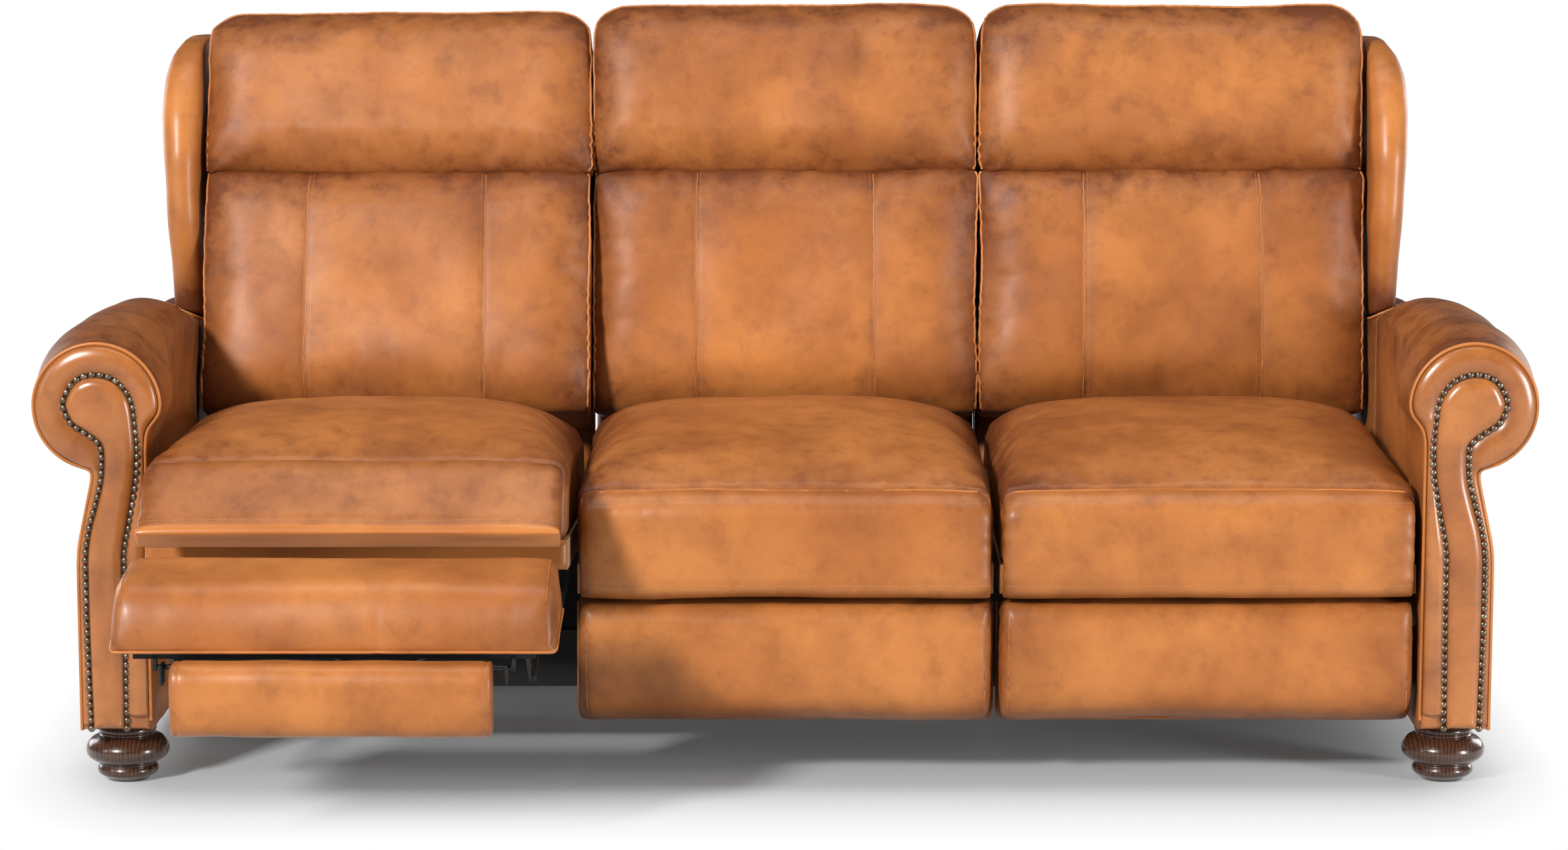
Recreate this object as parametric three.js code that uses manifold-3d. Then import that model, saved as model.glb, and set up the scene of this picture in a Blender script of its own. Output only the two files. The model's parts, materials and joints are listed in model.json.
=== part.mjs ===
// Reclining sofa with three seats, rolled arms and wings.
// Millimetres, +Z up. The sofa faces -Y and "left" is the viewer's left, at -X.
// Every seat is drawn closed, and nested groups then swing and slide it to the pose it rests in:
// the left seat with its footrest out and its back a little reclined, the others closed.
// Y is measured from the front plane of the arms until the end, where the origin moves
// to the middle of the sofa's footprint.
import * as THREE from 'three';
import { mergeVertices } from 'three/addons/utils/BufferGeometryUtils.js';
import Module from 'manifold-3d';

const wasm = await Module();
wasm.setup();

// Overall layout
const seat_count = 3;
const seat_pitch = 626;
const cushion_gap = 9;
const arm_clearance = 9;
const arm_depth = 930;
const foot_height = 85;

// Clearances: fixed neighbours, moving neighbours, pins in their holes, and how far a cut overruns
const fit = 0.3;
const running = 1.5;
const hole_slack = 0.8;
const overrun = 5;

// Arms
const arm_width = 109;
const arm_neck_width = 82;
const arm_shoulder_height = 358;
const roll_radius = 97;
const roll_height = 575;
const roll_reach = 73;
const overhang_drop = 13;
const overhang_shoulder_height = roll_height - overhang_drop;
const overhang_slant = 28;
const overhang_foot_height = overhang_shoulder_height - overhang_slant;
const overhang_depth = 130;
const overhang_middle = 235;
const overhang_end = 330;
const facing_thickness = 14;
const facing_inset = 5;
const panel_thickness = 7;
const trim_width = 11;
const trim_thickness = 4;

// Wings
const wing_height = 1061;
const wing_inset = 310;
const wing_depth = 315;
const wing_width = 60;
const wing_base_rise = 28;

// Bun feet
const foot_radius = 63;
const foot_inset = 49;
const front_foot_setback = 75;
const rear_foot_inset = 80;

// Fixed base
const rail_thickness = 25;
const rail_bottom = 113;
const rail_top = 200;
const front_rail_setback = 200;
const rear_rail_inset = 50;
const rear_rail_bottom = 62;
const rear_rail_top = 318;
const track_width = 20;
const track_height = 20;
const bar_width = 30;
const bar_height = 14;
const bar_rail_gap = 240;
const support_thickness = 20;

// Steel plates, tubes and pins of the mechanism
const plate_thickness = 5;
const plate_inset = 47;
const tube_radius = 6;
const pin_radius = 5;
const pivot_radius = 8;
const ear_radius = 13;
const link_length = 162;
const link_width = 22;

// Carriage
const carriage_front = 108;
const carriage_depth_height = 50;
const shoe_height = 10;
const shoe_front = 150;
const shoe_rail_gap = 380;
const cross_tube_radius = 10;
const front_tube_setback = 240;
const rear_tube_setback = 360;
const slide_travel = 100;

// Motor drive
const motor_width = 70;
const motor_length = 120;
const motor_height = 62;
const drive_width = 40;
const drive_height = 30;
const drive_bottom = 150;
const block_width = 36;
const block_length = 40;

// Seat
const deck_bottom = 292;
const deck_height = 43;
const seat_front = 22;
const seat_back_gap = 151;
const seat_edge_height = 449;
const seat_crown = 70;
const seat_tilt_angle = 5.5;
const seat_pivot_gap = 11;
const seat_pivot_rise = 8;

// Front boxing that bridges to the footrest
const boxing_thickness = 28;
const boxing_bottom = 288;
const boxing_bulge = 9;
const boxing_swing_angle = 45;
const boxing_pivot_depth = 1;

// Footrest
const pad_thickness = 95;
const pad_front = -5;
const pad_bottom = 91;
const pad_top = 280;
const pad_inset = 4;
const board_thickness = 11;
const board_inset = 12;
const board_side_inset = 30;
const pad_swing_angle = 85;
const pad_reach = 376;
const pad_rise = 165;
const pad_pivot_setback = 24;
const pad_pivot_rise = 76;
const flipper_pivot_drop = 79;
const link_pivot_setback = 20;

// Cable that hangs under the left footrest from two clips on its board
const cable_radius = 2.5;
const cable_sides = 8;
const cable_steps = 40;
const cable_rise = 37;
const clip_width = 12;
const clip_height = 8;

// Flipper under the footrest
const flipper_width = 443;
const flipper_length = 102;
const flipper_thickness = 57;
const flipper_overlap = 14;
const flipper_standoff = 18;
const flipper_board_thickness = 7;
const flipper_board_inset = 14;
const flipper_swing_angle = 95;

// Back
const back_rail_gap = 145;
const back_pivot_height = 330;
const back_lean_angle = 12;
const rest_recline_angle = 8.7;
const lumbar_bottom = 112;
const lumbar_thickness = 175;
const lumbar_bulge = 12;
const crease_height = 505;
const headrest_top = 776;
const headrest_thickness = 196;
const frame_setback = 10;
const frame_thickness = 40;
const frame_bottom = 25;
const frame_top = 765;
const frame_inset = 10;
const outside_thickness = 40;
const seam_spacing = 282;
const seam_depth = 7;

// Switch plates
const switch_width = 46;
const switch_length = 92;
const switch_thickness = 6;
const switch_setback = 210;
const switch_height = 270;
const button_radius = 10;
const button_spacing = 40;
const button_height = 5;
const button_well_depth = 4.8;
const button_travel = 2;
const button_sides = 16;

// Sides of round pieces
const pin_sides = 12;
const foot_sides = 18;
const roll_steps = 18;

// Worked out from the sizes above
const half_seats = (seat_count * seat_pitch) / 2;
const back_width = seat_pitch - 2 * cushion_gap;
const plate_reach = seat_pitch / 2 - plate_inset;
const cushion_width = seat_pitch - cushion_gap;
const deck_top = deck_bottom + deck_height;
const carriage_bottom = rail_top + fit + track_height + fit + shoe_height;
const carriage_top = carriage_bottom + carriage_depth_height;
const rest_bottom = foot_height + fit;
const rear_rail_setback = arm_depth - rear_rail_inset;
const bar_setback = rear_rail_setback - bar_rail_gap;
const shoe_rear = rear_rail_setback - shoe_rail_gap;
const back_pivot_setback = rear_rail_setback - back_rail_gap;
const seat_rear = back_pivot_setback - seat_back_gap;
const wing_front = arm_depth - wing_inset;

const { degToRad, radToDeg, lerp } = THREE.MathUtils;

// Materials
function finish(colour, roughness, metalness) {
  return new THREE.MeshStandardMaterial({ color: colour, roughness, metalness });
}
const leather = finish(0xc0763c, 0.42, 0);
const nail_metal = finish(0x5a4632, 0.4, 0.9);
const walnut = finish(0x2e1a14, 0.3, 0);
const steel = finish(0x17171a, 0.45, 0.8);
const timber = finish(0xb89468, 0.8, 0);
const black_paint = finish(0x111112, 0.7, 0);
const plastic = finish(0x1c1c1e, 0.5, 0);

// Solid geometry: joins, cuts and plain shapes
function welded(geometry) {
  const plain = geometry.index ? geometry.toNonIndexed() : geometry;
  const bare = new THREE.BufferGeometry();
  bare.setAttribute('position', plain.getAttribute('position'));
  return mergeVertices(bare);
}

function to_solid(geometry) {
  const merged = welded(geometry);
  const mesh = new wasm.Mesh({
    numProp: 3,
    vertProperties: new Float32Array(merged.getAttribute('position').array),
    triVerts: new Uint32Array(merged.index.array),
  });
  return new wasm.Manifold(mesh);
}

function from_solid(solid) {
  const mesh = solid.getMesh();
  const geometry = new THREE.BufferGeometry();
  geometry.setAttribute('position', new THREE.BufferAttribute(mesh.vertProperties, 3));
  geometry.setIndex(new THREE.BufferAttribute(mesh.triVerts, 1));
  return geometry;
}

function joined(...pieces) {
  return from_solid(pieces.map(to_solid).reduce((whole, piece) => whole.add(piece)));
}

function cut(piece, ...tools) {
  return from_solid(tools.map(to_solid).reduce((whole, tool) => whole.subtract(tool), to_solid(piece)));
}

function block(x, y, z) {
  const box = new THREE.BoxGeometry(x[1] - x[0], y[1] - y[0], z[1] - z[0]);
  return box.translate((x[0] + x[1]) / 2, (y[0] + y[1]) / 2, (z[0] + z[1]) / 2);
}

function rod(x, at, radius) {
  const cylinder = new THREE.CylinderGeometry(radius, radius, x[1] - x[0], pin_sides);
  return cylinder.rotateZ(Math.PI / 2).translate((x[0] + x[1]) / 2, at.y, at.z);
}

// An outline given in Y and Z, as thick as the span x
function side_plate(points, x) {
  const shape = new THREE.Shape(points.map((p) => new THREE.Vector2(p[0], p[1])));
  const geometry = new THREE.ExtrudeGeometry(shape, { depth: x[1] - x[0], bevelEnabled: false });
  const turn = new THREE.Matrix4().makeBasis(
    new THREE.Vector3(0, 1, 0),
    new THREE.Vector3(0, 0, 1),
    new THREE.Vector3(1, 0, 0),
  );
  return geometry.applyMatrix4(turn).translate(x[0], 0, 0);
}

// An outline given in X and Z, from y[0] back to y[1]
function front_plate(points, y, steps = 1) {
  const shape = new THREE.Shape(points.map((p) => new THREE.Vector2(p[0], p[1])));
  const geometry = new THREE.ExtrudeGeometry(shape, { depth: y[1] - y[0], steps, bevelEnabled: false });
  const turn = new THREE.Matrix4().makeBasis(
    new THREE.Vector3(1, 0, 0),
    new THREE.Vector3(0, 0, 1),
    new THREE.Vector3(0, -1, 0),
  );
  return geometry.applyMatrix4(turn).translate(0, y[1], 0);
}

// The outline of a bar with round ends between two points of the side view
function bar_outline(from, to, radius) {
  const heading = Math.atan2(to.z - from.z, to.y - from.y);
  const points = [];
  const half_turn = pin_sides / 2;
  for (let step = 0; step <= half_turn; step += 1) {
    const angle = heading - Math.PI / 2 + (Math.PI * step) / half_turn;
    points.push([to.y + radius * Math.cos(angle), to.z + radius * Math.sin(angle)]);
  }
  for (let step = 0; step <= half_turn; step += 1) {
    const angle = heading + Math.PI / 2 + (Math.PI * step) / half_turn;
    points.push([from.y + radius * Math.cos(angle), from.z + radius * Math.sin(angle)]);
  }
  return points;
}

// The same piece on both sides of a seat: x counts outwards from the seat's middle
function both_sides(make, x) {
  return [make([x[0], x[1]]), make([-x[1], -x[0]])];
}

// A soft closed form in a box. a, b and c run from -1 to 1 over its width, depth and height.
// The shares say how far the sides, the front, the top and bottom, and the rear draw in towards
// the corners, and shape moves a point further.
function drawn_in(share, s, t) {
  return Math.sqrt(1 - (share * (s * s + t * t)) / 2 + (share * share * s * s * t * t) / 3);
}

function soft_form(box, steps, draw_shares, shape) {
  const geometry = new THREE.BoxGeometry(1, 1, 1, ...steps);
  const position = geometry.getAttribute('position');
  for (let i = 0; i < position.count; i += 1) {
    const a = 2 * position.getX(i);
    const b = 2 * position.getY(i);
    const c = 2 * position.getZ(i);
    const x = lerp(box.x[0], box.x[1], (1 + a * drawn_in(draw_shares[0], b, c)) / 2);
    const depth_share = b < 0 ? draw_shares[1] : draw_shares[3];
    const y = lerp(box.y[0], box.y[1], (1 + b * drawn_in(depth_share, a, c)) / 2);
    const z = lerp(box.z[0], box.z[1], (1 + c * drawn_in(draw_shares[2], a, b)) / 2);
    const moved = shape(a, b, c);
    position.setXYZ(i, x + moved[0], y + moved[1], z + moved[2]);
  }
  return welded(geometry);
}

// Rings of equally many points, each ring a list of [x, y, z], closed by a fan at both ends
function loft(rings) {
  const count = rings[0].length;
  const points = rings.flat();
  const faces = [];
  for (let r = 0; r + 1 < rings.length; r += 1) {
    for (let i = 0; i < count; i += 1) {
      const next = (i + 1) % count;
      const low = r * count;
      const high = low + count;
      faces.push(low + i, low + next, high + next, low + i, high + next, high + i);
    }
  }
  const last = (rings.length - 1) * count;
  for (let i = 1; i + 1 < count; i += 1) {
    faces.push(0, i + 1, i, last, last + i, last + i + 1);
  }
  const geometry = new THREE.BufferGeometry();
  geometry.setAttribute('position', new THREE.Float32BufferAttribute(points.flat(), 3));
  geometry.setIndex(faces);
  return geometry;
}

// The scene graph
const sofa = new THREE.Group();

function add(parent, name, geometry, material) {
  const mesh = new THREE.Mesh(geometry, material);
  mesh.name = name;
  parent.add(mesh);
  return mesh;
}

// A group that turns about the X axis through a point of the closed pose.
// A positive angle lifts what lies in front of the point. What is added inside
// is still given in the closed pose's coordinates.
function hinge(parent, name, at, degrees) {
  const turned = new THREE.Group();
  turned.name = name;
  turned.position.set(0, at.y, at.z);
  turned.rotation.x = -degToRad(degrees);
  const inner = new THREE.Group();
  inner.position.set(0, -at.y, -at.z);
  turned.add(inner);
  parent.add(turned);
  return inner;
}

// Arms: the outline at the front, for the right arm, inset by a distance. The roll hangs over the seat.
function arm_outline(inset) {
  const inner = half_seats + inset;
  const outer = half_seats + arm_width - inset;
  const roll_x = half_seats + roll_reach;
  const radius = roll_radius - inset;
  const neck_x = half_seats + arm_neck_width - inset;
  const neck_angle = -Math.acos((neck_x - roll_x) / radius);
  const bottom = rest_bottom + inset;
  const points = [[inner, bottom], [outer, bottom], [outer, arm_shoulder_height]];
  for (let step = 0; step <= roll_steps; step += 1) {
    const angle = lerp(neck_angle, Math.PI, step / roll_steps);
    points.push([roll_x + radius * Math.cos(angle), roll_height + radius * Math.sin(angle)]);
  }
  points.push([roll_x - radius, overhang_shoulder_height + inset]);
  points.push([inner, overhang_foot_height + inset]);
  return points;
}

// Depths behind the facing's front where the roll changes, and what is left of its reach, its rise
// and its overhang there
const roll_depths = [0, overhang_depth, overhang_middle, overhang_end, arm_depth + overrun];
const roll_reach_shares = [1, 1, 0.99, 0.98, 0.86];
const roll_rise_shares = [1, 1, 0.98, 0.955, 0.76];
const roll_overhang_shares = [1, 1, 0.3, 0.02, 0.02];

function share_at(depth, shares) {
  const i = Math.max(roll_depths.findIndex((station) => station >= depth), 1);
  const along = (depth - roll_depths[i - 1]) / (roll_depths[i] - roll_depths[i - 1]);
  return lerp(shares[i - 1], shares[i], along);
}

// A part of the arm between two depths; its roll gets smaller towards the rear
function arm_block(inset, front, rear) {
  const depths = [front, ...roll_depths.filter((depth) => depth > front && depth < rear), rear];
  const steps = depths.length - 1;
  const block = front_plate(arm_outline(inset), [0, steps], steps);
  const place = block.getAttribute('position');
  const inner = half_seats + inset;
  const roll_x = half_seats + roll_reach;
  for (let i = 0; i < place.count; i += 1) {
    const depth = depths[Math.round(place.getY(i))];
    let x = place.getX(i);
    let z = place.getZ(i);
    if (x < inner) x = lerp(inner, x, share_at(depth, roll_overhang_shares));
    if (x > roll_x && z > arm_shoulder_height + running) {
      x = lerp(roll_x, x, share_at(depth, roll_reach_shares));
    }
    if (z > roll_height) z = lerp(roll_height, z, share_at(depth, roll_rise_shares));
    place.setXYZ(i, x, depth, z);
  }
  return block;
}

// The route of the nails round the arm's centre panel: shares of the arm's width, and of the height
// between the arm's foot and the top of its roll
const trim_route_shares = [
  [0.834, 0.012], [0.845, 0.1], [0.86, 0.25], [0.864, 0.4], [0.855, 0.462], [0.804, 0.522],
  [0.704, 0.589], [0.628, 0.647], [0.609, 0.704], [0.637, 0.74], [0.815, 0.767], [1.003, 0.791],
  [1.104, 0.83], [1.097, 0.856], [0.976, 0.896], [0.793, 0.914], [0.585, 0.915], [0.389, 0.9],
  [0.238, 0.868], [0.171, 0.831], [0.138, 0.772], [0.126, 0.72], [0.145, 0.653], [0.227, 0.564],
  [0.3, 0.496], [0.328, 0.462], [0.33, 0.43], [0.335, 0.25], [0.35, 0.012],
];
const arm_rise = roll_height + roll_radius - rest_bottom;
const trim_route = trim_route_shares.map((share) => new THREE.Vector2(
  half_seats + share[0] * arm_width,
  rest_bottom + share[1] * arm_rise,
));

// The route moved sideways by a distance, to the left of its direction
function offset_route(route, distance) {
  return route.map((point, i) => {
    const before = route[Math.max(i - 1, 0)];
    const after = route[Math.min(i + 1, route.length - 1)];
    const along = after.clone().sub(before).normalize();
    return [point.x - along.y * distance, point.y + along.x * distance];
  });
}

function build_arm(side, name) {
  const group = new THREE.Group();
  group.scale.x = side;
  sofa.add(group);
  const body = arm_block(0, facing_thickness, arm_depth);
  add(group, `arm_body_${name}`, body, leather);
  const facing = front_plate(arm_outline(facing_inset), [0, facing_thickness - fit]);
  const inner_edge = offset_route(trim_route, trim_width / 2 + fit);
  const panel = front_plate(inner_edge, [-panel_thickness, fit]);
  add(group, `arm_facing_${name}`, joined(facing, panel), leather);
  const band = offset_route(trim_route, trim_width / 2)
    .concat(offset_route(trim_route, -trim_width / 2).reverse());
  const trim = front_plate(band, [-trim_thickness, -fit]);
  add(group, `nail_trim_${name}`, trim, nail_metal);
}

// Wings: rings at heights, each a rounded slab, cut to sit on the arm's roll
const wing_level_shares = [0, 0.2, 0.4, 0.6, 0.75, 0.87, 0.95, 1];
const wing_outer_shares = [0.75, 0.78, 0.84, 0.95, 1, 0.96, 0.82, 0.5];
const wing_front_shares = [0.1, 0.05, 0, 0.02, 0.09, 0.19, 0.31, 0.46];
const wing_rear_shares = [1, 1, 1, 1, 1, 0.98, 0.94, 0.86];

function build_wing(side, name) {
  const group = new THREE.Group();
  group.scale.x = side;
  sofa.add(group);
  const inner = half_seats + fit;
  const nose_steps = 6;
  const rings = wing_level_shares.map((level, i) => {
    const z = lerp(roll_height + wing_base_rise, wing_height, level);
    const width = wing_width * wing_outer_shares[i];
    const front = wing_front + wing_depth * wing_front_shares[i];
    const rear = wing_front + wing_depth * wing_rear_shares[i];
    const ring = [[inner, rear, z]];
    for (let step = 0; step <= nose_steps; step += 1) {
      const angle = Math.PI + (Math.PI * step) / nose_steps;
      const x = inner + (width / 2) * (1 + Math.cos(angle));
      ring.push([x, front + (width / 2) * (1 + Math.sin(angle)), z]);
    }
    ring.push([inner + width, rear, z]);
    return ring;
  });
  const room = arm_block(-fit, 0, arm_depth + overrun);
  add(group, `wing_${name}`, cut(loft(rings), room), leather);
}

// Bun feet, turned about Z: [share of the radius, share of the height]
const foot_profile_shares = [
  [0.52, 0], [0.56, 0.06], [0.7, 0.13], [0.73, 0.22], [0.66, 0.29], [0.86, 0.38], [1, 0.52],
  [0.98, 0.66], [0.82, 0.78], [0.66, 0.83], [0.68, 0.9], [0.64, 1],
];

function build_foot(name, x, y) {
  const points = foot_profile_shares.map(
    (share) => new THREE.Vector2(share[0] * foot_radius, share[1] * foot_height),
  );
  points.unshift(new THREE.Vector2(0, 0));
  points.push(new THREE.Vector2(0, foot_height));
  const foot = new THREE.LatheGeometry(points, foot_sides).rotateX(Math.PI / 2);
  add(sofa, name, welded(foot), walnut).position.set(x, y, 0);
}

// Rails between the arms
function build_rails() {
  const x = [-half_seats + fit, half_seats - fit];
  const front_y = [front_rail_setback, front_rail_setback + rail_thickness];
  add(sofa, 'front_rail', block(x, front_y, [rail_bottom, rail_top]), black_paint);
  const rear_y = [rear_rail_setback, rear_rail_setback + rail_thickness];
  add(sofa, 'rear_rail', block(x, rear_y, [rear_rail_bottom, rear_rail_top]), black_paint);
}

// Pivots of one seat in the closed pose, in the side view
const pad_middle = {
  y: pad_front + pad_thickness / 2,
  z: (pad_bottom + pad_top) / 2,
};
const pad_pivot = {
  y: pad_front + pad_thickness + pad_pivot_setback,
  z: pad_middle.z + pad_pivot_rise,
};
const flipper_pivot = { y: pad_pivot.y, z: pad_middle.z - flipper_pivot_drop };
const link_pivot = { y: pad_pivot.y + link_pivot_setback, z: pad_pivot.z };
const fold = Math.acos(link_pivot_setback / (2 * link_length));
const knee_pivot = {
  y: link_pivot.y - link_length * Math.cos(fold),
  z: link_pivot.z - link_length * Math.sin(fold),
};
const seat_pivot = { y: seat_rear + seat_pivot_gap, z: deck_bottom + seat_pivot_rise };
const back_pivot = { y: back_pivot_setback, z: back_pivot_height };
const boxing_pivot = {
  y: seat_front - fit - boxing_pivot_depth,
  z: seat_edge_height - fit,
};

// Where the open footrest puts its pivot, seen from the carriage, and the turns that take it there
function footrest_turns() {
  const swing = degToRad(pad_swing_angle);
  const offset = { y: pad_pivot.y - pad_middle.y, z: pad_pivot.z - pad_middle.z };
  const open = {
    y: pad_middle.y - pad_reach + slide_travel + offset.y * Math.cos(swing) + offset.z * Math.sin(swing),
    z: pad_middle.z + pad_rise - offset.y * Math.sin(swing) + offset.z * Math.cos(swing),
  };
  const forward = link_pivot.y - open.y;
  const up = open.z - link_pivot.z;
  const slope = Math.atan2(up, forward);
  const spread = Math.acos(Math.hypot(forward, up) / (2 * link_length));
  const lower = radToDeg(slope - spread + fold);
  const upper = radToDeg(slope + spread - fold);
  return { lower, upper: upper - lower, pad: pad_swing_angle - upper, flipper: flipper_swing_angle };
}
const turns = footrest_turns();

// Spans of the plates across a seat, from the seat's middle outwards
const pitch_across = plate_thickness + running;
const carriage_x = [plate_reach, plate_reach + plate_thickness];
const lower_link_x = [carriage_x[0] - pitch_across, carriage_x[1] - pitch_across];
const upper_link_x = [lower_link_x[0] - pitch_across, lower_link_x[1] - pitch_across];
const board_ear_x = [upper_link_x[0] - pitch_across, upper_link_x[1] - pitch_across];
const flipper_ear_x = [board_ear_x[0] - pitch_across, board_ear_x[1] - pitch_across];

// The plate that carries a seat, with an ear for the back's pivot
function carrier_outline(front, bottom, top) {
  const back_top = back_pivot.z + ear_radius;
  const rear = back_pivot.y + ear_radius;
  return [
    [front, bottom],
    [rear, bottom],
    [rear, back_top],
    [back_pivot.y - ear_radius, back_top],
    [seat_pivot.y + ear_radius, seat_pivot.z + ear_radius],
    [seat_rear + 2 * running, seat_pivot.z + ear_radius],
    [seat_rear + 2 * running, top],
    [front, top],
  ];
}

function build_track(group, name) {
  const y = [front_rail_setback, rear_rail_setback - fit];
  const z = [rail_top + fit, rail_top + fit + track_height];
  const middle = (carriage_x[0] + carriage_x[1]) / 2;
  const rails = both_sides((x) => block(x, y, z), [middle - track_width / 2, middle + track_width / 2]);
  const bar = block([-middle, middle], [bar_setback, bar_setback + bar_width], [z[0], z[0] + bar_height]);
  add(group, `slide_track_${name}`, joined(...rails, bar), steel);
}

function build_carriage(group, name) {
  const holes = [
    ...both_sides((x) => rod(x, link_pivot, tube_radius + hole_slack), wide(carriage_x)),
    ...both_sides((x) => rod(x, back_pivot, pivot_radius + hole_slack), wide(carriage_x)),
  ];
  const outline = carrier_outline(carriage_front, carriage_bottom, carriage_top);
  const plates = both_sides((x) => side_plate(outline, x), carriage_x);
  const middle = (carriage_x[0] + carriage_x[1]) / 2;
  const shoe_x = [middle - track_width / 2, middle + track_width / 2];
  const shoe_z = [carriage_bottom - shoe_height, carriage_bottom + fit];
  const shoes = both_sides((x) => block(x, [shoe_front, shoe_rear], shoe_z), shoe_x);
  const tube_z = carriage_bottom + cross_tube_radius;
  const tubes = [front_tube_setback, rear_tube_setback].map(
    (y) => rod([-carriage_x[0] - fit, carriage_x[0] + fit], { y, z: tube_z }, cross_tube_radius),
  );
  const pins = both_sides((x) => rod(x, seat_pivot, pin_radius), [lower_link_x[0], carriage_x[0] + fit]);
  const whole = joined(...plates, ...shoes, ...tubes, ...pins);
  add(group, `carriage_${name}`, cut(whole, ...holes), steel);
}

function wide(x) {
  return [x[0] - overrun, x[1] + overrun];
}

// Motor with the channel it drives along, and the block that pulls the carriage
function build_drive(fixed, carriage, name) {
  const bar_bottom = rail_top + fit;
  const motor_x = [-motor_width / 2, motor_width / 2];
  const motor_y = [bar_setback, bar_setback + motor_length];
  const motor_z = [bar_bottom - fit - motor_height, bar_bottom - fit];
  const rail_y = [front_rail_setback + rail_thickness + fit, bar_setback + overrun];
  const rail_z = [drive_bottom, drive_bottom + drive_height];
  const channel = block([-drive_width / 2, drive_width / 2], rail_y, rail_z);
  add(fixed, `drive_motor_${name}`, joined(block(motor_x, motor_y, motor_z), channel), plastic);
  const block_y = [rear_tube_setback - block_length / 2, rear_tube_setback + block_length / 2];
  const block_z = [rail_z[1] + fit, carriage_bottom - fit];
  const block_x = [-block_width / 2, block_width / 2];
  add(carriage, `drive_block_${name}`, block(block_x, block_y, block_z), plastic);
}

// Seat deck, and its hinge ears where the seat tilts
function build_deck(group, name, tilts) {
  const x = [-cushion_width / 2 + fit, cushion_width / 2 - fit];
  const deck = block(x, [seat_front, seat_rear], [deck_bottom, deck_top]);
  if (!tilts) {
    add(group, `seat_deck_${name}`, deck, timber);
    return;
  }
  const ear_y = [seat_rear - fit, seat_pivot.y + ear_radius];
  const ear_z = [deck_bottom, seat_pivot.z + ear_radius];
  const ears = both_sides((span) => block(span, ear_y, ear_z), lower_link_x);
  const holes = both_sides((span) => rod(span, seat_pivot, pin_radius + hole_slack), wide(lower_link_x));
  add(group, `seat_deck_${name}`, cut(joined(deck, ...ears), ...holes), timber);
}

// Seat cushion: a crown that rises steeply behind the front seam and falls a little to the rear
const crown_peak_share = 0.35;
const crown_rear_share = 0.6;
const cushion_draw_shares = [0.06, 0, 0, 0.08];
const boxing_draw_shares = [0.06, 0.3, 0, 0];

function crown_at(a, b) {
  const across = Math.sqrt(1 - a ** 4);
  const past = b - crown_peak_share;
  if (past < 0) {
    return across * Math.sqrt(1 - (past / (1 + crown_peak_share)) ** 2);
  }
  return across * (1 - (1 - crown_rear_share) * (past / (1 - crown_peak_share)) ** 2);
}

function build_seat_cushion(group, name) {
  const box = {
    x: [-cushion_width / 2, cushion_width / 2],
    y: [seat_front, seat_rear],
    z: [deck_top + fit, seat_edge_height],
  };
  const cushion = soft_form(box, [10, 8, 3], cushion_draw_shares, (a, b, c) => {
    const top_share = Math.max(0, c);
    return [0, 0, seat_crown * crown_at(a, b) * top_share];
  });
  add(group, `seat_cushion_${name}`, cushion, leather);
}

function build_boxing(group, name) {
  const box = {
    x: [-cushion_width / 2, cushion_width / 2],
    y: [seat_front - fit - boxing_thickness, seat_front - fit],
    z: [boxing_bottom, seat_edge_height - fit],
  };
  const boxing = soft_form(box, [8, 1, 4], boxing_draw_shares, (a, b, c) => {
    const front_share = Math.max(0, -b);
    return [0, -boxing_bulge * front_share * (1 - a ** 4) * (1 - c * c), 0];
  });
  add(group, `seat_boxing_${name}`, boxing, leather);
}

// The cable's route on the closed footrest: X from the seat's middle, Y from the clips' faces
const cable_route = [
  [-36, 0], [-36, 7], [-31, 15.5], [-17, 24], [5, 31], [28, 35.5], [52, 37],
  [76, 35.5], [99, 31], [121, 24], [135, 15.5], [140, 7], [140, 0],
];
const clip_face = pad_front + pad_thickness + board_thickness + clip_height;

function build_cable(group, name) {
  const z = pad_middle.z + cable_rise;
  const line = cable_route.map((at) => new THREE.Vector3(at[0], clip_face + fit + at[1], z));
  const section = new THREE.Shape();
  for (let step = 0; step < cable_sides; step += 1) {
    const angle = (2 * Math.PI * step) / cable_sides;
    const to = step ? 'lineTo' : 'moveTo';
    section[to](cable_radius * Math.cos(angle), cable_radius * Math.sin(angle));
  }
  const extrudePath = new THREE.CatmullRomCurve3(line);
  const cable = new THREE.ExtrudeGeometry(section, { steps: cable_steps, extrudePath, bevelEnabled: false });
  add(group, `footrest_cable_${name}`, welded(cable), plastic);
}

// Footrest pad, and behind it, where it moves, the board with ears for the links and the flipper
const pad_draw_shares = [0.03, 0.2, 0.28, 0];

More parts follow.
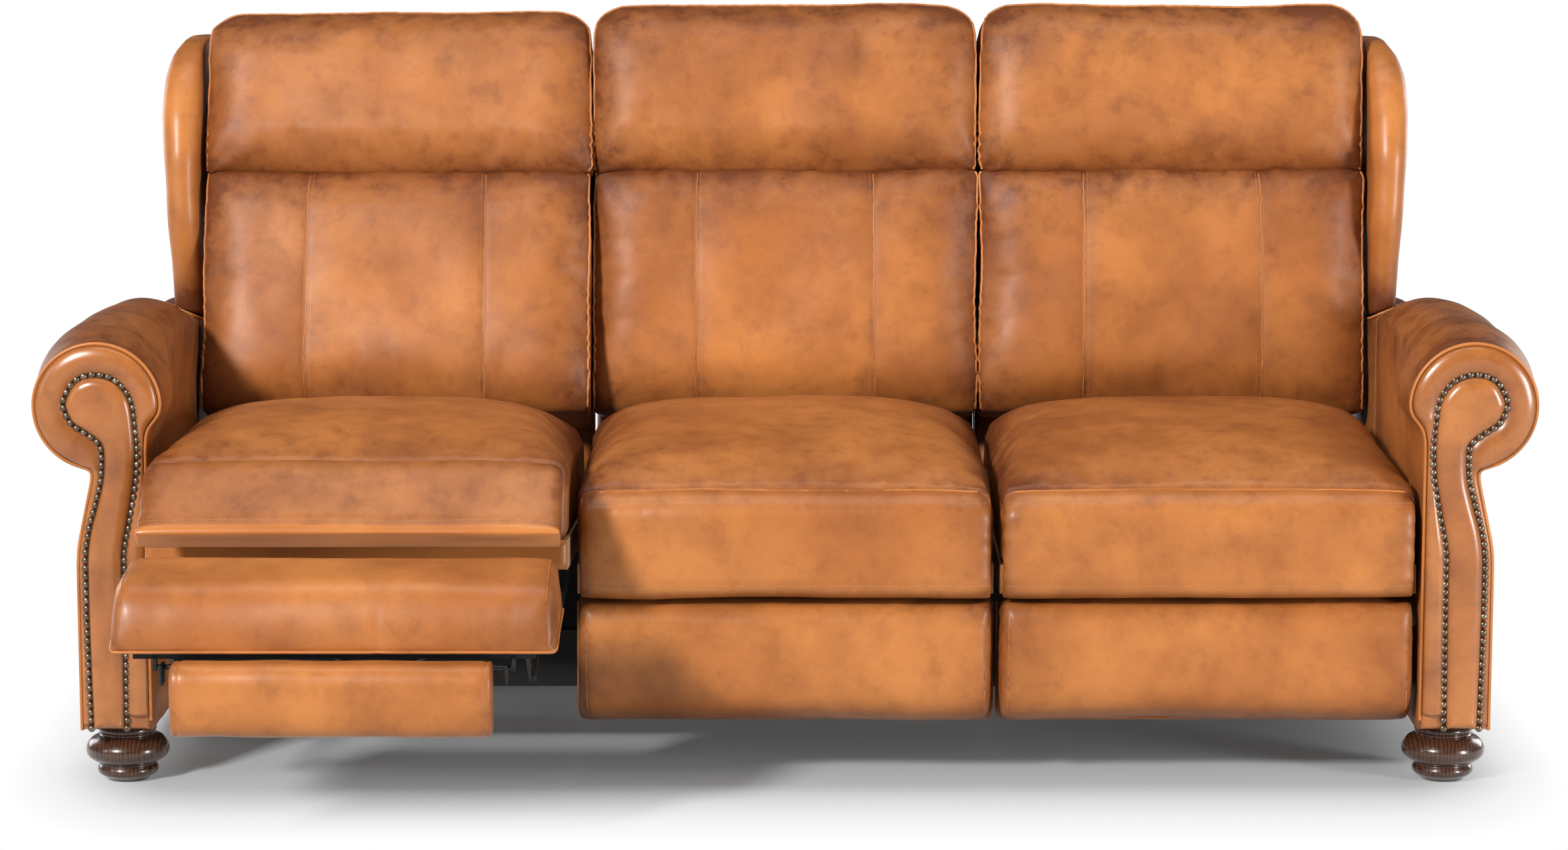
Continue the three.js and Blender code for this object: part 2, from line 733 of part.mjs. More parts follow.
function build_pad(group, name, moves) {
  const box = {
    x: [-seat_pitch / 2 + pad_inset, seat_pitch / 2 - pad_inset],
    y: [pad_front, pad_front + pad_thickness],
    z: [pad_bottom, pad_top],
  };
  const pad = soft_form(box, [8, 3, 4], pad_draw_shares, () => [0, 0, 0]);
  add(group, `footrest_pad_${name}`, pad, leather);
  if (!moves) {
    return;
  }
  const board_x = [box.x[0] + board_side_inset, box.x[1] - board_side_inset];
  const board_y = [box.y[1] + fit, box.y[1] + board_thickness];
  const board_z = [pad_bottom + board_inset, pad_top - board_inset];
  const board = block(board_x, board_y, board_z);
  const ears = [pad_pivot, flipper_pivot].flatMap((at) => {
    const root = { y: box.y[1] + board_thickness, z: at.z };
    const outline = bar_outline(root, at, board_thickness / 2 + fit);
    return both_sides((x) => side_plate(outline, x), board_ear_x);
  });
  const clip_z = [pad_middle.z + cable_rise - clip_width / 2, pad_middle.z + cable_rise + clip_width / 2];
  const clips = [cable_route[0], cable_route[cable_route.length - 1]].map((at) => block(
    [at[0] - clip_width / 2, at[0] + clip_width / 2],
    [clip_face - clip_height - fit, clip_face],
    clip_z,
  ));
  const holes = [
    ...both_sides((x) => rod(x, pad_pivot, pin_radius - fit), wide(board_ear_x)),
    ...both_sides((x) => rod(x, flipper_pivot, pin_radius - fit), wide(board_ear_x)),
  ];
  add(group, `footrest_board_${name}`, cut(joined(board, ...ears, ...clips), ...holes), black_paint);
}

// Links: two arms and the tube that joins them
function build_links(lower, upper, name) {
  const lower_arms = both_sides(
    (x) => side_plate(bar_outline(link_pivot, knee_pivot, link_width / 2), x),
    lower_link_x,
  );
  const lower_tube = rod([-carriage_x[1] - running, carriage_x[1] + running], link_pivot, tube_radius);
  const knee_pins = both_sides(
    (x) => rod(x, knee_pivot, pin_radius),
    [upper_link_x[0] - running / 2, lower_link_x[0] + fit],
  );
  add(lower, `footrest_link_lower_${name}`, joined(...lower_arms, lower_tube, ...knee_pins), steel);
  const thin_radius = pin_radius - fit - hole_slack;
  const upper_arms = both_sides(
    (x) => side_plate(bar_outline(knee_pivot, pad_pivot, link_width / 2 - running), x),
    upper_link_x,
  );
  const upper_tube = rod([-upper_link_x[0] - fit, upper_link_x[0] + fit], pad_pivot, thin_radius);
  const holes = both_sides((x) => rod(x, knee_pivot, pin_radius + hole_slack), wide(upper_link_x));
  add(upper, `footrest_link_upper_${name}`, cut(joined(...upper_arms, upper_tube), ...holes), steel);
}

// The flipper, drawn folded up behind the footrest board
const flipper_draw_shares = [0.02, 0, 0.16, 0.16];

function build_flipper(group, name) {
  const near = flipper_pivot.y + flipper_standoff;
  const box = {
    x: [-flipper_width / 2, flipper_width / 2],
    y: [near, near + flipper_thickness],
    z: [flipper_pivot.z - flipper_overlap, flipper_pivot.z - flipper_overlap + flipper_length],
  };
  const pad = soft_form(box, [8, 2, 3], flipper_draw_shares, () => [0, 0, 0]);
  const board = block(
    [-flipper_ear_x[1], flipper_ear_x[1]],
    [near - flipper_board_thickness, near + flipper_board_thickness],
    [box.z[0] + flipper_board_inset, box.z[1] - flipper_board_inset],
  );
  const root = { y: near - flipper_board_thickness / 2, z: flipper_pivot.z };
  const ears = both_sides(
    (x) => side_plate(bar_outline(flipper_pivot, root, flipper_board_thickness / 2), x),
    flipper_ear_x,
  );
  const thin_radius = pin_radius - fit - hole_slack;
  const reach = board_ear_x[1] + running / 2;
  const tube = rod([-reach, reach], flipper_pivot, thin_radius);
  add(group, `flipper_${name}`, joined(pad, board, ...ears, tube), leather);
}

// Back: frame with its padded rear, lumbar cushion with two seams, and headrest, drawn upright
const outside_draw_shares = [0.02, 0, 0.02, 0.2];
const lumbar_draw_shares = [0.05, 0.12, 0.06, 0];
const headrest_draw_shares = [0.06, 0.3, 0.22, 0];
const lumbar_steps = [12, 2, 5];
const seam_share = 0.5;
const seam_width_share = 2 / lumbar_steps[0];

function build_back(group, name, x_shift) {
  const front = back_pivot.y + frame_setback;
  const rear = front + frame_thickness;
  const x = [x_shift - back_width / 2, x_shift + back_width / 2];
  const level = (height) => back_pivot.z + height;
  const frame_x = [x[0] + frame_inset, x[1] - frame_inset];
  const frame = block(frame_x, [front, rear], [level(frame_bottom), level(frame_top)]);
  const outline = [
    [back_pivot.y - ear_radius, level(-ear_radius)],
    [back_pivot.y + ear_radius, level(-ear_radius)],
    [rear, level(frame_bottom)],
    [rear, level(2 * frame_bottom + ear_radius)],
    [front, level(2 * frame_bottom + ear_radius)],
    [back_pivot.y - ear_radius, level(ear_radius)],
  ];
  const brackets = both_sides((span) => side_plate(outline, span), lower_link_x);
  const pins = both_sides(
    (span) => rod(span, back_pivot, pivot_radius),
    [lower_link_x[1] - fit, carriage_x[1] + running],
  );
  const outside_box = {
    x,
    y: [rear - overrun, rear + outside_thickness],
    z: [level(frame_bottom), level(frame_top + frame_inset)],
  };
  const outside = soft_form(outside_box, [4, 1, 6], outside_draw_shares, () => [0, 0, 0]);
  add(group, `back_frame_${name}`, joined(frame, outside, ...brackets, ...pins), leather);

  const lumbar_box = {
    x,
    y: [front - fit - lumbar_thickness, front - fit],
    z: [level(lumbar_bottom), level(crease_height)],
  };
  const lumbar = soft_form(lumbar_box, lumbar_steps, lumbar_draw_shares, (a, b, c) => {
    const front_share = Math.max(0, -b);
    const from_seam_share = Math.abs(Math.abs(a) - seam_share);
    const seam_shift = ((seam_spacing - back_width * seam_share) / 2) * (1 - from_seam_share / seam_share);
    const groove = seam_depth * Math.max(0, 1 - from_seam_share / seam_width_share);
    const swell = lumbar_bulge * (1 - a ** 4) * (1 - c * c);
    return [Math.sign(a) * seam_shift * front_share, (groove - swell) * front_share, 0];
  });
  add(group, `lumbar_cushion_${name}`, lumbar, leather);

  const headrest_box = {
    x,
    y: [front - fit - headrest_thickness, front - fit],
    z: [level(crease_height + fit), level(headrest_top)],
  };
  const headrest = soft_form(headrest_box, [8, 4, 6], headrest_draw_shares, (a, b, c) => {
    const low_front_share = Math.max(0, -b) * Math.max(0, -c);
    return [0, (headrest_thickness - lumbar_thickness + lumbar_bulge) * low_front_share, 0];
  });
  add(group, `headrest_cushion_${name}`, headrest, leather);
}

// One power seat: track, carriage, tilting seat, footrest and reclining back
function build_power_seat(name, side, open_share, recline) {
  const fixed = new THREE.Group();
  fixed.position.x = side * seat_pitch;
  sofa.add(fixed);
  build_track(fixed, name);
  const carriage = new THREE.Group();
  carriage.name = `carriage_slide_${name}`;
  carriage.position.y = -open_share * slide_travel;
  fixed.add(carriage);
  build_carriage(carriage, name);
  build_drive(fixed, carriage, name);

  const seat = hinge(carriage, `seat_pivot_${name}`, seat_pivot, open_share * seat_tilt_angle);
  build_deck(seat, name, true);
  build_seat_cushion(seat, name);
  const boxing = hinge(seat, `boxing_pivot_${name}`, boxing_pivot, open_share * boxing_swing_angle);
  build_boxing(boxing, name);

  const lower = hinge(carriage, `link_pivot_${name}`, link_pivot, open_share * turns.lower);
  const upper = hinge(lower, `knee_pivot_${name}`, knee_pivot, open_share * turns.upper);
  build_links(lower, upper, name);
  const pad = hinge(upper, `pad_pivot_${name}`, pad_pivot, open_share * turns.pad);
  build_pad(pad, name, true);
  if (side < 0) {
    build_cable(pad, name);
  }
  const flipper = hinge(pad, `flipper_pivot_${name}`, flipper_pivot, open_share * turns.flipper);
  build_flipper(flipper, name);

  const back = hinge(carriage, `back_pivot_${name}`, back_pivot, back_lean_angle + recline);
  build_back(back, name, -side * (arm_clearance - cushion_gap / 2));
}

// The middle seat stands still on two side boards
function build_fixed_seat(name) {
  const support_x = [carriage_x[0], carriage_x[0] + support_thickness];
  const front = pad_front + pad_thickness + fit;
  const outline = carrier_outline(front, rail_top + fit, deck_bottom - fit);
  both_sides((x) => side_plate(outline, x), support_x).forEach((support, i) => {
    const holes = both_sides((x) => rod(x, back_pivot, pivot_radius + hole_slack), wide(support_x));
    add(sofa, `${name}_support_${i ? 'left' : 'right'}`, cut(support, holes[i]), timber);
  });
  build_deck(sofa, name, false);
  build_seat_cushion(sofa, name);
  build_boxing(sofa, name);
  build_pad(sofa, name, false);
  const back = hinge(sofa, `back_pivot_${name}`, back_pivot, back_lean_angle);
  build_back(back, name, 0);
}

// Switch plate on the outer face of an arm, with two buttons that sit on it
function build_switch(side, name) {
  const group = new THREE.Group();
  group.position.set(side * (half_seats + arm_width + fit), switch_setback, switch_height);
  group.rotation.y = (side * Math.PI) / 2;
  sofa.add(group);
  const plate = new THREE.BoxGeometry(switch_length, switch_width, switch_thickness);
  plate.translate(0, 0, switch_thickness / 2);
  const well_radius = button_radius + running / 2;
  const well_floor = switch_thickness - button_well_depth;
  const well = (x) => new THREE.CylinderGeometry(well_radius, well_radius, switch_thickness, button_sides)
    .rotateX(Math.PI / 2)
    .translate(x, 0, well_floor + switch_thickness / 2);
  const places = [-button_spacing / 2, button_spacing / 2];
  add(group, `switch_plate_${name}`, cut(plate, ...places.map(well)), plastic);
  ['out', 'in'].forEach((action, i) => {
    const button = new THREE.CylinderGeometry(button_radius, button_radius, button_height, button_sides);
    button.rotateX(Math.PI / 2);
    const rest = well_floor + button_travel + fit + button_height / 2;
    add(group, `button_${action}_${name}`, button.translate(places[i], 0, rest), plastic);
  });
}

build_rails();
build_power_seat('left', -1, 1, rest_recline_angle);
build_fixed_seat('center');
build_power_seat('right', 1, 0, 0);
for (const [side, name] of [[-1, 'left'], [1, 'right']]) {
  build_arm(side, name);
  build_wing(side, name);
  build_switch(side, name);
  const foot_x = side * (half_seats + foot_inset);
  build_foot(`front_foot_${name}`, foot_x, front_foot_setback);
  build_foot(`rear_foot_${name}`, foot_x, arm_depth - rear_foot_inset);
}

// The origin goes to the middle of the footprint, on the floor
sofa.updateMatrixWorld(true);
const bounds = new THREE.Box3().setFromObject(sofa, true);
sofa.position.y = -(bounds.min.y + bounds.max.y) / 2;

export default sofa;
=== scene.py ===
# Dresses the frame of a reclining sofa: three seats in burnished tan leather, rolled arms with
# nailhead trim, wings and turned feet. Metres, +Z up, the sofa faces -Y.
# Pieces of the moving seats are drawn on the closed sofa and then moved to where their body rests.
import json
import math

import bpy
import numpy as np
from bpy.props import FloatProperty, FloatVectorProperty, PointerProperty
from mathutils import Matrix, Vector
from mathutils.bvhtree import BVHTree
from mathutils.kdtree import KDTree

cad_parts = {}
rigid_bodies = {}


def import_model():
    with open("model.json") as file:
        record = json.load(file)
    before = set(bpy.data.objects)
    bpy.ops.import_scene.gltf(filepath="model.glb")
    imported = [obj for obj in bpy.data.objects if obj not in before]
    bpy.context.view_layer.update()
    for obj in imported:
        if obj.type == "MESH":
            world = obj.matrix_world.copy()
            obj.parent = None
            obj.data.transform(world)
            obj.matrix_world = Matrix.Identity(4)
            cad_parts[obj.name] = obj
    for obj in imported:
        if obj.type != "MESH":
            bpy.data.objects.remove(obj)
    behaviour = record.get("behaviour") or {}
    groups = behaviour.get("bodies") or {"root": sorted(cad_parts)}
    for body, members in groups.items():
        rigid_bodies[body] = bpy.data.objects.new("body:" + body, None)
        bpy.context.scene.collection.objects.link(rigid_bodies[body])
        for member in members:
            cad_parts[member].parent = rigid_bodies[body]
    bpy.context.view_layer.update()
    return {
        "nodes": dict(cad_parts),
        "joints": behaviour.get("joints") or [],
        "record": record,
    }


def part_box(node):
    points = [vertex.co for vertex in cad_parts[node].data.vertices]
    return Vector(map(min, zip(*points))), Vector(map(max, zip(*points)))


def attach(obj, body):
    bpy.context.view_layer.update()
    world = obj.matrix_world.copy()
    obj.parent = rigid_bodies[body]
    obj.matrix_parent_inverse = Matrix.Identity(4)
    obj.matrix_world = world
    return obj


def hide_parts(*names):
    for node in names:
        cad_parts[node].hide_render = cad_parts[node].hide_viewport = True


bl_info = {
    "name": "Reclining sofa",
    "version": (1, 0, 0),
    "blender": (4, 5, 0),
    "location": "3D View > Sidebar > Sofa",
    "description": "Upholsters the frame of a reclining sofa and sets its stage",
    "category": "Object",
}

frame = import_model()
joints = {joint["name"]: joint for joint in frame["joints"]}
ratios = {c["joint"]: (c["follows"], c["ratio"]) for c in frame["record"]["behaviour"]["couplings"]}

SEATS = ("left", "center", "right")
SIDES = {"left": -1, "right": 1}
MM = 0.001
BACK_LEAN = math.radians(12)


# Places on the frame


def turned(point, angle):
    """A turn about an axis along X through a point; a positive angle lifts what lies in front."""
    to_point = Matrix.Translation(point)
    return to_point @ Matrix.Rotation(angle, 4, Vector((-1, 0, 0))) @ to_point.inverted()


def opened_by(joint):
    """How far a joint stands from its closed end in the rest pose."""
    if joint["name"] in ratios:
        leader, ratio = ratios[joint["name"]]
        return ratio * opened_by(joints[leader])
    if joint["type"] == "slide":
        return -joint["range_m"][0]
    return math.radians(-joint["range_deg"][0])


def placed(body):
    """The move that takes a piece drawn on the closed sofa to where its body rests."""
    joint = next((j for j in frame["joints"] if j["child"] == body), None)
    if joint is None:
        return Matrix.Identity(4)
    if joint["type"] == "slide":
        step = Matrix.Translation(Vector(joint["axis"]) * opened_by(joint))
    else:
        step = turned(Vector(joint["pos_m"]), opened_by(joint))
    return step @ placed(joint["parent"])


def carrier(kind, seat):
    """The body that carries a kind of piece; the seat in the middle stands still."""
    return "base" if seat == "center" else f"{kind}_{seat}"


def seated(kind, node, seat):
    """The body of a seat's piece, the move to its resting place and its box as drawn closed."""
    body = carrier(kind, seat)
    move = placed(body)
    return (body, move, *drawn_box(f"{node}_{seat}", move))


def leaned(node, seat):
    """The same for a back's piece on the upright back, widened to what its stuffing fills."""
    move = back_move(seat)
    low, high = drawn_box(f"{node}_{seat}", move)
    swollen = np.array([bpy.context.scene.sofa_soft.back_swell, 0, 0])
    return carrier("back", seat), move, low - swollen, high + swollen


def back_move(seat):
    """Takes a piece drawn on an upright back to its place."""
    pivot = Vector(joints["back_recline_right"]["pos_m"])
    return placed(carrier("back", seat)) @ turned(pivot, BACK_LEAN)


def drawn_box(node, move):
    """The corners of a CAD node's box, with the move to its resting place taken back."""
    back = move.inverted()
    points = np.array([back @ v.co for v in frame["nodes"][node].data.vertices])
    return points.min(0), points.max(0)


# Meshes


def added(name, data):
    """An object in the scene."""
    thing = bpy.data.objects.new(name, data)
    bpy.context.scene.collection.objects.link(thing)
    return thing


def new_piece(name, points, faces):
    """A mesh object; a closed skin gets its faces turned outward."""
    mesh = bpy.data.meshes.new(name)
    mesh.from_pydata([tuple(p) for p in points], [], [tuple(int(i) for i in f) for f in faces])
    mesh.calc_loop_triangles()
    corners = np.empty(len(mesh.loop_triangles) * 3, int)
    mesh.loop_triangles.foreach_get("vertices", corners)
    first, second, third = np.asarray(points, float)[corners.reshape(-1, 3)].transpose(1, 0, 2)
    if (first * np.cross(second, third)).sum() < 0:
        mesh.flip_normals()
    mesh.update()
    return added(name, mesh)


def drawn_curve(name, lines):
    """A curve of straight steps along lines given as lists of points."""
    curve = bpy.data.curves.new(name, "CURVE")
    curve.dimensions = "3D"
    for line in lines:
        spline = curve.splines.new("POLY")
        spline.points.add(len(line) - 1)
        flat = np.concatenate([np.asarray(line, float), np.ones((len(line), 1))], axis=1)
        spline.points.foreach_set("co", flat.reshape(-1))
    return curve


def places(piece):
    points = np.empty(len(piece.data.vertices) * 3)
    piece.data.vertices.foreach_get("co", points)
    return points.reshape(-1, 3)


def move_to(piece, points):
    piece.data.vertices.foreach_set("co", points.reshape(-1))
    piece.data.update()


def raised(piece, points, height):
    """Moves a piece's points out along their normals."""
    outward = np.empty(len(points) * 3)
    piece.data.vertex_normals.foreach_get("vector", outward)
    points = points + outward.reshape(-1, 3) * height[:, None]
    move_to(piece, points)
    return points


def write_vector(piece, name, values):
    attributes = piece.data.attributes
    attribute = attributes.get(name) or attributes.new(name, "FLOAT_VECTOR", "POINT")
    attribute.data.foreach_set("vector", values.astype(np.float32).reshape(-1))


def read_vector(piece, name):
    values = np.empty(len(piece.data.vertices) * 3, np.float32)
    piece.data.attributes[name].data.foreach_get("vector", values)
    return values.reshape(-1, 3).astype(float)


def spread(piece):
    """A cover's stations over its width, depth and height, and its points."""
    return (*read_vector(piece, "station").T, places(piece))


def settled(piece):
    """Works a piece's modifiers into its mesh."""
    graph = bpy.context.evaluated_depsgraph_get()
    evaluated = piece.evaluated_get(graph)
    mesh = bpy.data.meshes.new_from_object(evaluated, preserve_all_data_layers=True, depsgraph=graph)
    piece.modifiers.clear()
    piece.data = mesh


def refined(piece):
    """Divides a cover once, smoothly."""
    surface = piece.modifiers.new("surface", "SUBSURF")
    surface.levels = 1
    settled(piece)


def rounded_stops(half, radius, spacing):
    """Places from one edge of a side to the other: even round the edges, about `spacing` apart."""
    turns = max(2, round(radius * math.pi / 4 / spacing))
    bend = half - radius + radius * np.tan(math.pi / 4 * np.arange(1, turns + 1) / turns)
    flats = max(2, round(2 * (half - radius) / spacing))
    return np.concatenate([-bend[::-1], np.linspace(radius - half, half - radius, flats + 1), bend])


def lattice(name, stops):
    """A closed skin of squares over a box, with lines at the given stops along its axes."""
    grid = np.stack(np.meshgrid(*stops, indexing="ij"), axis=-1)
    shell = np.ones(grid.shape[:3], bool)
    shell[1:-1, 1:-1, 1:-1] = False
    index = np.full(shell.shape, -1)
    index[shell] = np.arange(shell.sum())
    faces = []
    for axis in range(3):
        for end in (0, -1):
            layer = np.take(index, end, axis=axis)
            quads = np.stack([layer[:-1, :-1], layer[1:, :-1], layer[1:, 1:], layer[:-1, 1:]], axis=-1)
            quads = quads.reshape(-1, 4)
            inward = (end == 0) != (axis == 1)
            faces.append(quads[:, ::-1] if inward else quads)
    return new_piece(name, grid[shell], np.concatenate(faces))


def soft_box(name, low, high, radius, spacing):
    """A closed cover over a box with round edges. The attribute "station" runs from -1 to 1
    over its width, depth and height."""
    half = (high - low) / 2
    piece = lattice(name, [rounded_stops(h, radius, spacing) for h in half])
    points = places(piece)
    core = np.clip(points, radius - half, half - radius)
    outward = points - core
    outward /= np.linalg.norm(outward, axis=1, keepdims=True)
    write_vector(piece, "station", points / half)
    move_to(piece, (low + high) / 2 + core + radius * outward)
    return piece


def rolled_stops(half, first, last, spacing):
    """Places over a side whose ends roll away over a first and a last width."""
    turn = 1 - np.cos(math.pi / 2 * np.arange(5) / 5)
    flats = max(2, round((2 * half - first - last) / spacing))
    flat = np.linspace(first - half, half - last, flats + 1)
    return np.concatenate([first * turn - half, flat, half - last * turn[::-1]])


def pillow(name, low, high, rolls, corners, spacing=10 * MM, facing=-1):
    """A cushion whose panel, on its front or its rear, rolls back at its edges. The rolls say in mm
    how wide and how deep the sides, the top and the bottom roll; corners are the lower and upper
    corner radius in mm."""
    side, top, bottom = np.array(rolls) * MM
    low_corner, high_corner = np.array(corners) * MM
    half = (high - low) / 2
    centre = (high + low) / 2
    band = np.linspace(-half[1], half[1], max(3, round(2 * half[1] / (1.6 * spacing))) + 1)
    stops = [rolled_stops(half[0], side[0], side[0], spacing), band,
             rolled_stops(half[2], bottom[0], top[0], spacing)]
    piece = lattice(name, stops)
    station = places(piece) / half
    write_vector(piece, "station", station)
    a, b, c = station.T
    corner = np.where(c > 0, high_corner, low_corner)
    x, z = rounded_section(a * half[0], c * half[2], half[0], half[2], corner)
    inside = 1
    for away, width in (((1 - np.abs(a)) * half[0], side[0]), ((1 - c) * half[2], top[0]),
                        ((1 + c) * half[2], bottom[0])):
        inside = inside * np.sqrt(1 - (1 - np.clip(away / width, 0, 1)) ** 2)
    edge = side[1] + (top[1] - side[1]) * smooth_step(c, 0.6, 1)
    edge = edge + (bottom[1] - side[1]) * smooth_step(-c, 0.6, 1)
    past_edge = (1 - b * facing) / 2
    depth = np.where(past_edge < 1e-6, edge * (1 - inside), edge + past_edge * (2 * half[1] - edge))
    y = high[1] - depth if facing > 0 else low[1] + depth
    move_to(piece, np.stack([x + centre[0], y, z + centre[2]], axis=-1))
    return piece


def lofted(name, rings, side="right"):
    """A closed skin over rings of equally many points, capped at both ends and drawn for the right."""
    count = len(rings[0])
    points = np.concatenate(rings)
    here = np.arange(count)
    after = np.roll(here, -1)
    faces = []
    for step in range(len(rings) - 1):
        low, high = step * count, (step + 1) * count
        quads = np.stack([low + here, low + after, high + after, high + here], axis=-1)
        faces.extend(quads.tolist())
    faces.append((np.arange(count)[::-1]).tolist())
    faces.append((np.arange(count) + (len(rings) - 1) * count).tolist())
    if side == "left":
        points = points * np.array([-1, 1, 1])
        faces = [face[::-1] for face in faces]
    return new_piece(name, points, faces)


def rounded_section(p, q, half_p, half_q, radius):
    """Draws the corners of a rectangular section in to a radius, and what lies inside likewise."""
    level = np.maximum(np.maximum(np.abs(p) / half_p, np.abs(q) / half_q), 1e-6)
    edge_p, edge_q = p / level, q / level
    core_p = np.clip(edge_p, radius - half_p, half_p - radius)
    core_q = np.clip(edge_q, radius - half_q, half_q - radius)
    away = np.hypot(edge_p - core_p, edge_q - core_q)
    shrink = np.where(away > 0, radius / np.maximum(away, 1e-9), 1)
    new_p = core_p + (edge_p - core_p) * shrink
    new_q = core_q + (edge_q - core_q) * shrink
    return new_p * level, new_q * level


def smooth_step(value, start, end):
    t = np.clip((value - start) / (end - start), 0, 1)
    return t * t * (3 - 2 * t)


def fade(distance, length):
    return np.exp(-distance / length)


def ridge(distance, width):
    return np.exp(-(distance / width) ** 2)


def uneven(points, length, seed):
    """Seeded unevenness of a soft surface, about 1 high: waves of about one length every way."""
    source = np.random.default_rng(seed)
    count = 18
    ways = source.normal(size=(count, 3))
    ways /= np.linalg.norm(ways, axis=1, keepdims=True)
    ways *= 2 * math.pi / (length * source.uniform(0.7, 1.5, (count, 1)))
    return np.sin(points @ ways.T + source.uniform(0, 2 * math.pi, count)).sum(1) / math.sqrt(count)


def lumpy(points, seed, broad, fine, length=0.2, fine_length=0.06):
    """Broad and fine unevenness of the given heights in mm."""
    return broad * MM * uneven(points, length, seed) + fine * MM * uneven(points, fine_length, seed + 20)


def puckers(along, pitch, seed):
    """Small gathers along a seam, from 0 to 1, with an uneven pitch."""
    source = np.random.default_rng(seed)
    sway = sum(np.sin(along / pitch * k + source.uniform(0, 6.3)) for k in (0.7, 1.3, 2.1))
    return 0.5 + 0.5 * np.sin(2 * math.pi * along / pitch + 1.2 * sway)


def smooth_line(points, count, closed=False):
    """A smooth line through points, as `count` points at an even distance."""
    points = np.asarray(points, float)
    if closed:
        padded = np.concatenate([points[-1:], points, points[:2]])
    else:
        padded = np.concatenate([2 * points[:1] - points[1:2], points, 2 * points[-1:] - points[-2:-1]])
    fine = []
    for p0, p1, p2, p3 in zip(padded, padded[1:], padded[2:], padded[3:]):
        for t in np.arange(0, 1, 1 / 16):
            fine.append(0.5 * (2 * p1 + (p2 - p0) * t + (2 * p0 - 5 * p1 + 4 * p2 - p3) * t * t
                               + (3 * p1 - p0 - 3 * p2 + p3) * t ** 3))
    fine.append(padded[-2])
    fine = np.array(fine)
    run = np.concatenate([[0], np.cumsum(np.linalg.norm(np.diff(fine, axis=0), axis=1))])
    wanted = np.linspace(0, run[-1], count + 1 if closed else count)[:count]
    return np.stack([np.interp(wanted, run, fine[:, i]) for i in range(points.shape[1])], axis=-1)


def beside(line, distance):
    """A flat line moved to the left of its direction."""
    along = np.gradient(line, axis=0)
    along /= np.linalg.norm(along, axis=1, keepdims=True)
    return line + distance * np.stack([-along[:, 1], along[:, 0]], axis=-1)


# Soft covers

# How far a panel's stuffing may swell, how far a panel lies behind its CAD node's front
STUFFING = 9 * MM
PANEL_SETBACK = np.array([0, 5 * MM, 0])
# Radii of a welt and of a thin seam, and how far welts and stitches lie off their leather
WELT, THIN_SEAM = 2.2 * MM, 0.9 * MM
WELT_LIFT, STITCH_LIFT = 0.2 * MM, 0.25 * MM
# From a seam to the row of stitches beside it
STITCH_SETBACK = 5.5 * MM
LEATHER_CLOTH = {
    "quality": 5,
    "mass": 0.4,
    "tension_stiffness": 12,
    "compression_stiffness": 12,
    "shear_stiffness": 6,
    "bending_stiffness": 2.0,
    "use_pressure": True,
}


def swell(piece, pinned, most, pressure=4.0, slack=0.015, frames=20):
    """Blows a cover up like a stuffed cushion whose pinned points are sewn down; slack is the
    share by which its leather is larger than its rest shape."""
    rest = places(piece)
    sewn = piece.vertex_groups.new(name="sewn")
    for weight in (0.25, 0.5, 1.0):
        chosen = np.nonzero(np.abs(pinned - weight) < 0.13)[0].tolist()
        if chosen:
            sewn.add(chosen, weight, "REPLACE")
    cloth = piece.modifiers.new("swell", "CLOTH")
    for key, value in LEATHER_CLOTH.items():
        setattr(cloth.settings, key, value)
    cloth.settings.uniform_pressure_force = pressure
    cloth.settings.vertex_group_mass = "sewn"
    cloth.settings.shrink_min = -slack
    cloth.settings.effector_weights.gravity = 0
    cloth.collision_settings.use_collision = False
    cloth.point_cache.frame_start = 1
    cloth.point_cache.frame_end = frames
    scene = bpy.context.scene
    for step in range(1, frames + 1):
        scene.frame_set(step)
    graph = bpy.context.evaluated_depsgraph_get()
    blown = np.empty(len(rest) * 3)
    piece.evaluated_get(graph).data.vertices.foreach_get("co", blown)
    piece.modifiers.clear()
    piece.vertex_groups.clear()
    scene.frame_set(1)
    shift = blown.reshape(-1, 3) - rest
    far = np.linalg.norm(shift, axis=1, keepdims=True)
    move_to(piece, rest + shift * np.minimum(1, most / np.maximum(far, 1e-9)))


class Cover:
    """A finished cover, on which welts and stitches are laid by station."""

    def __init__(self, piece):
        points = places(piece)
        stations = read_vector(piece, "station")
        self.points = points
        self.tree = KDTree(len(stations))
        for i, station in enumerate(stations):
            self.tree.insert(station, i)
        self.tree.balance()
        polygons = [tuple(face.vertices) for face in piece.data.polygons]
        self.surface = BVHTree.FromPolygons(points.tolist(), polygons)

    def at(self, station, lift):
        near = self.tree.find_n(station, 4)
        weights = np.array([1 / (away + 1e-5) for _, _, away in near])
        guess = weights @ self.points[[i for _, i, _ in near]] / weights.sum()
        place, normal, _, _ = self.surface.find_nearest(guess)
        return np.array(place + lift * normal)

    def line(self, stations, lift):
        return np.array([self.at(station, lift) for station in stations])


def hide(piece, burnish_and_shade, panel, tone_and_shade=0.0):
    """Notes on each point how dark the leather is made, by burnish and by painted shade in creases, recesses
    and faces turned from the light, where a negative value paints light, which hide it is cut from, and how
    light that hide is, a tone that also paints shade on the open footrest and light on the board wraps."""
    notes = [np.broadcast_to(value, len(piece.data.vertices)) for value in (burnish_and_shade, panel, tone_and_shade)]
    write_vector(piece, "hide", np.stack(notes, axis=-1))


# Node trees, and the groups that lay what repeats along lines


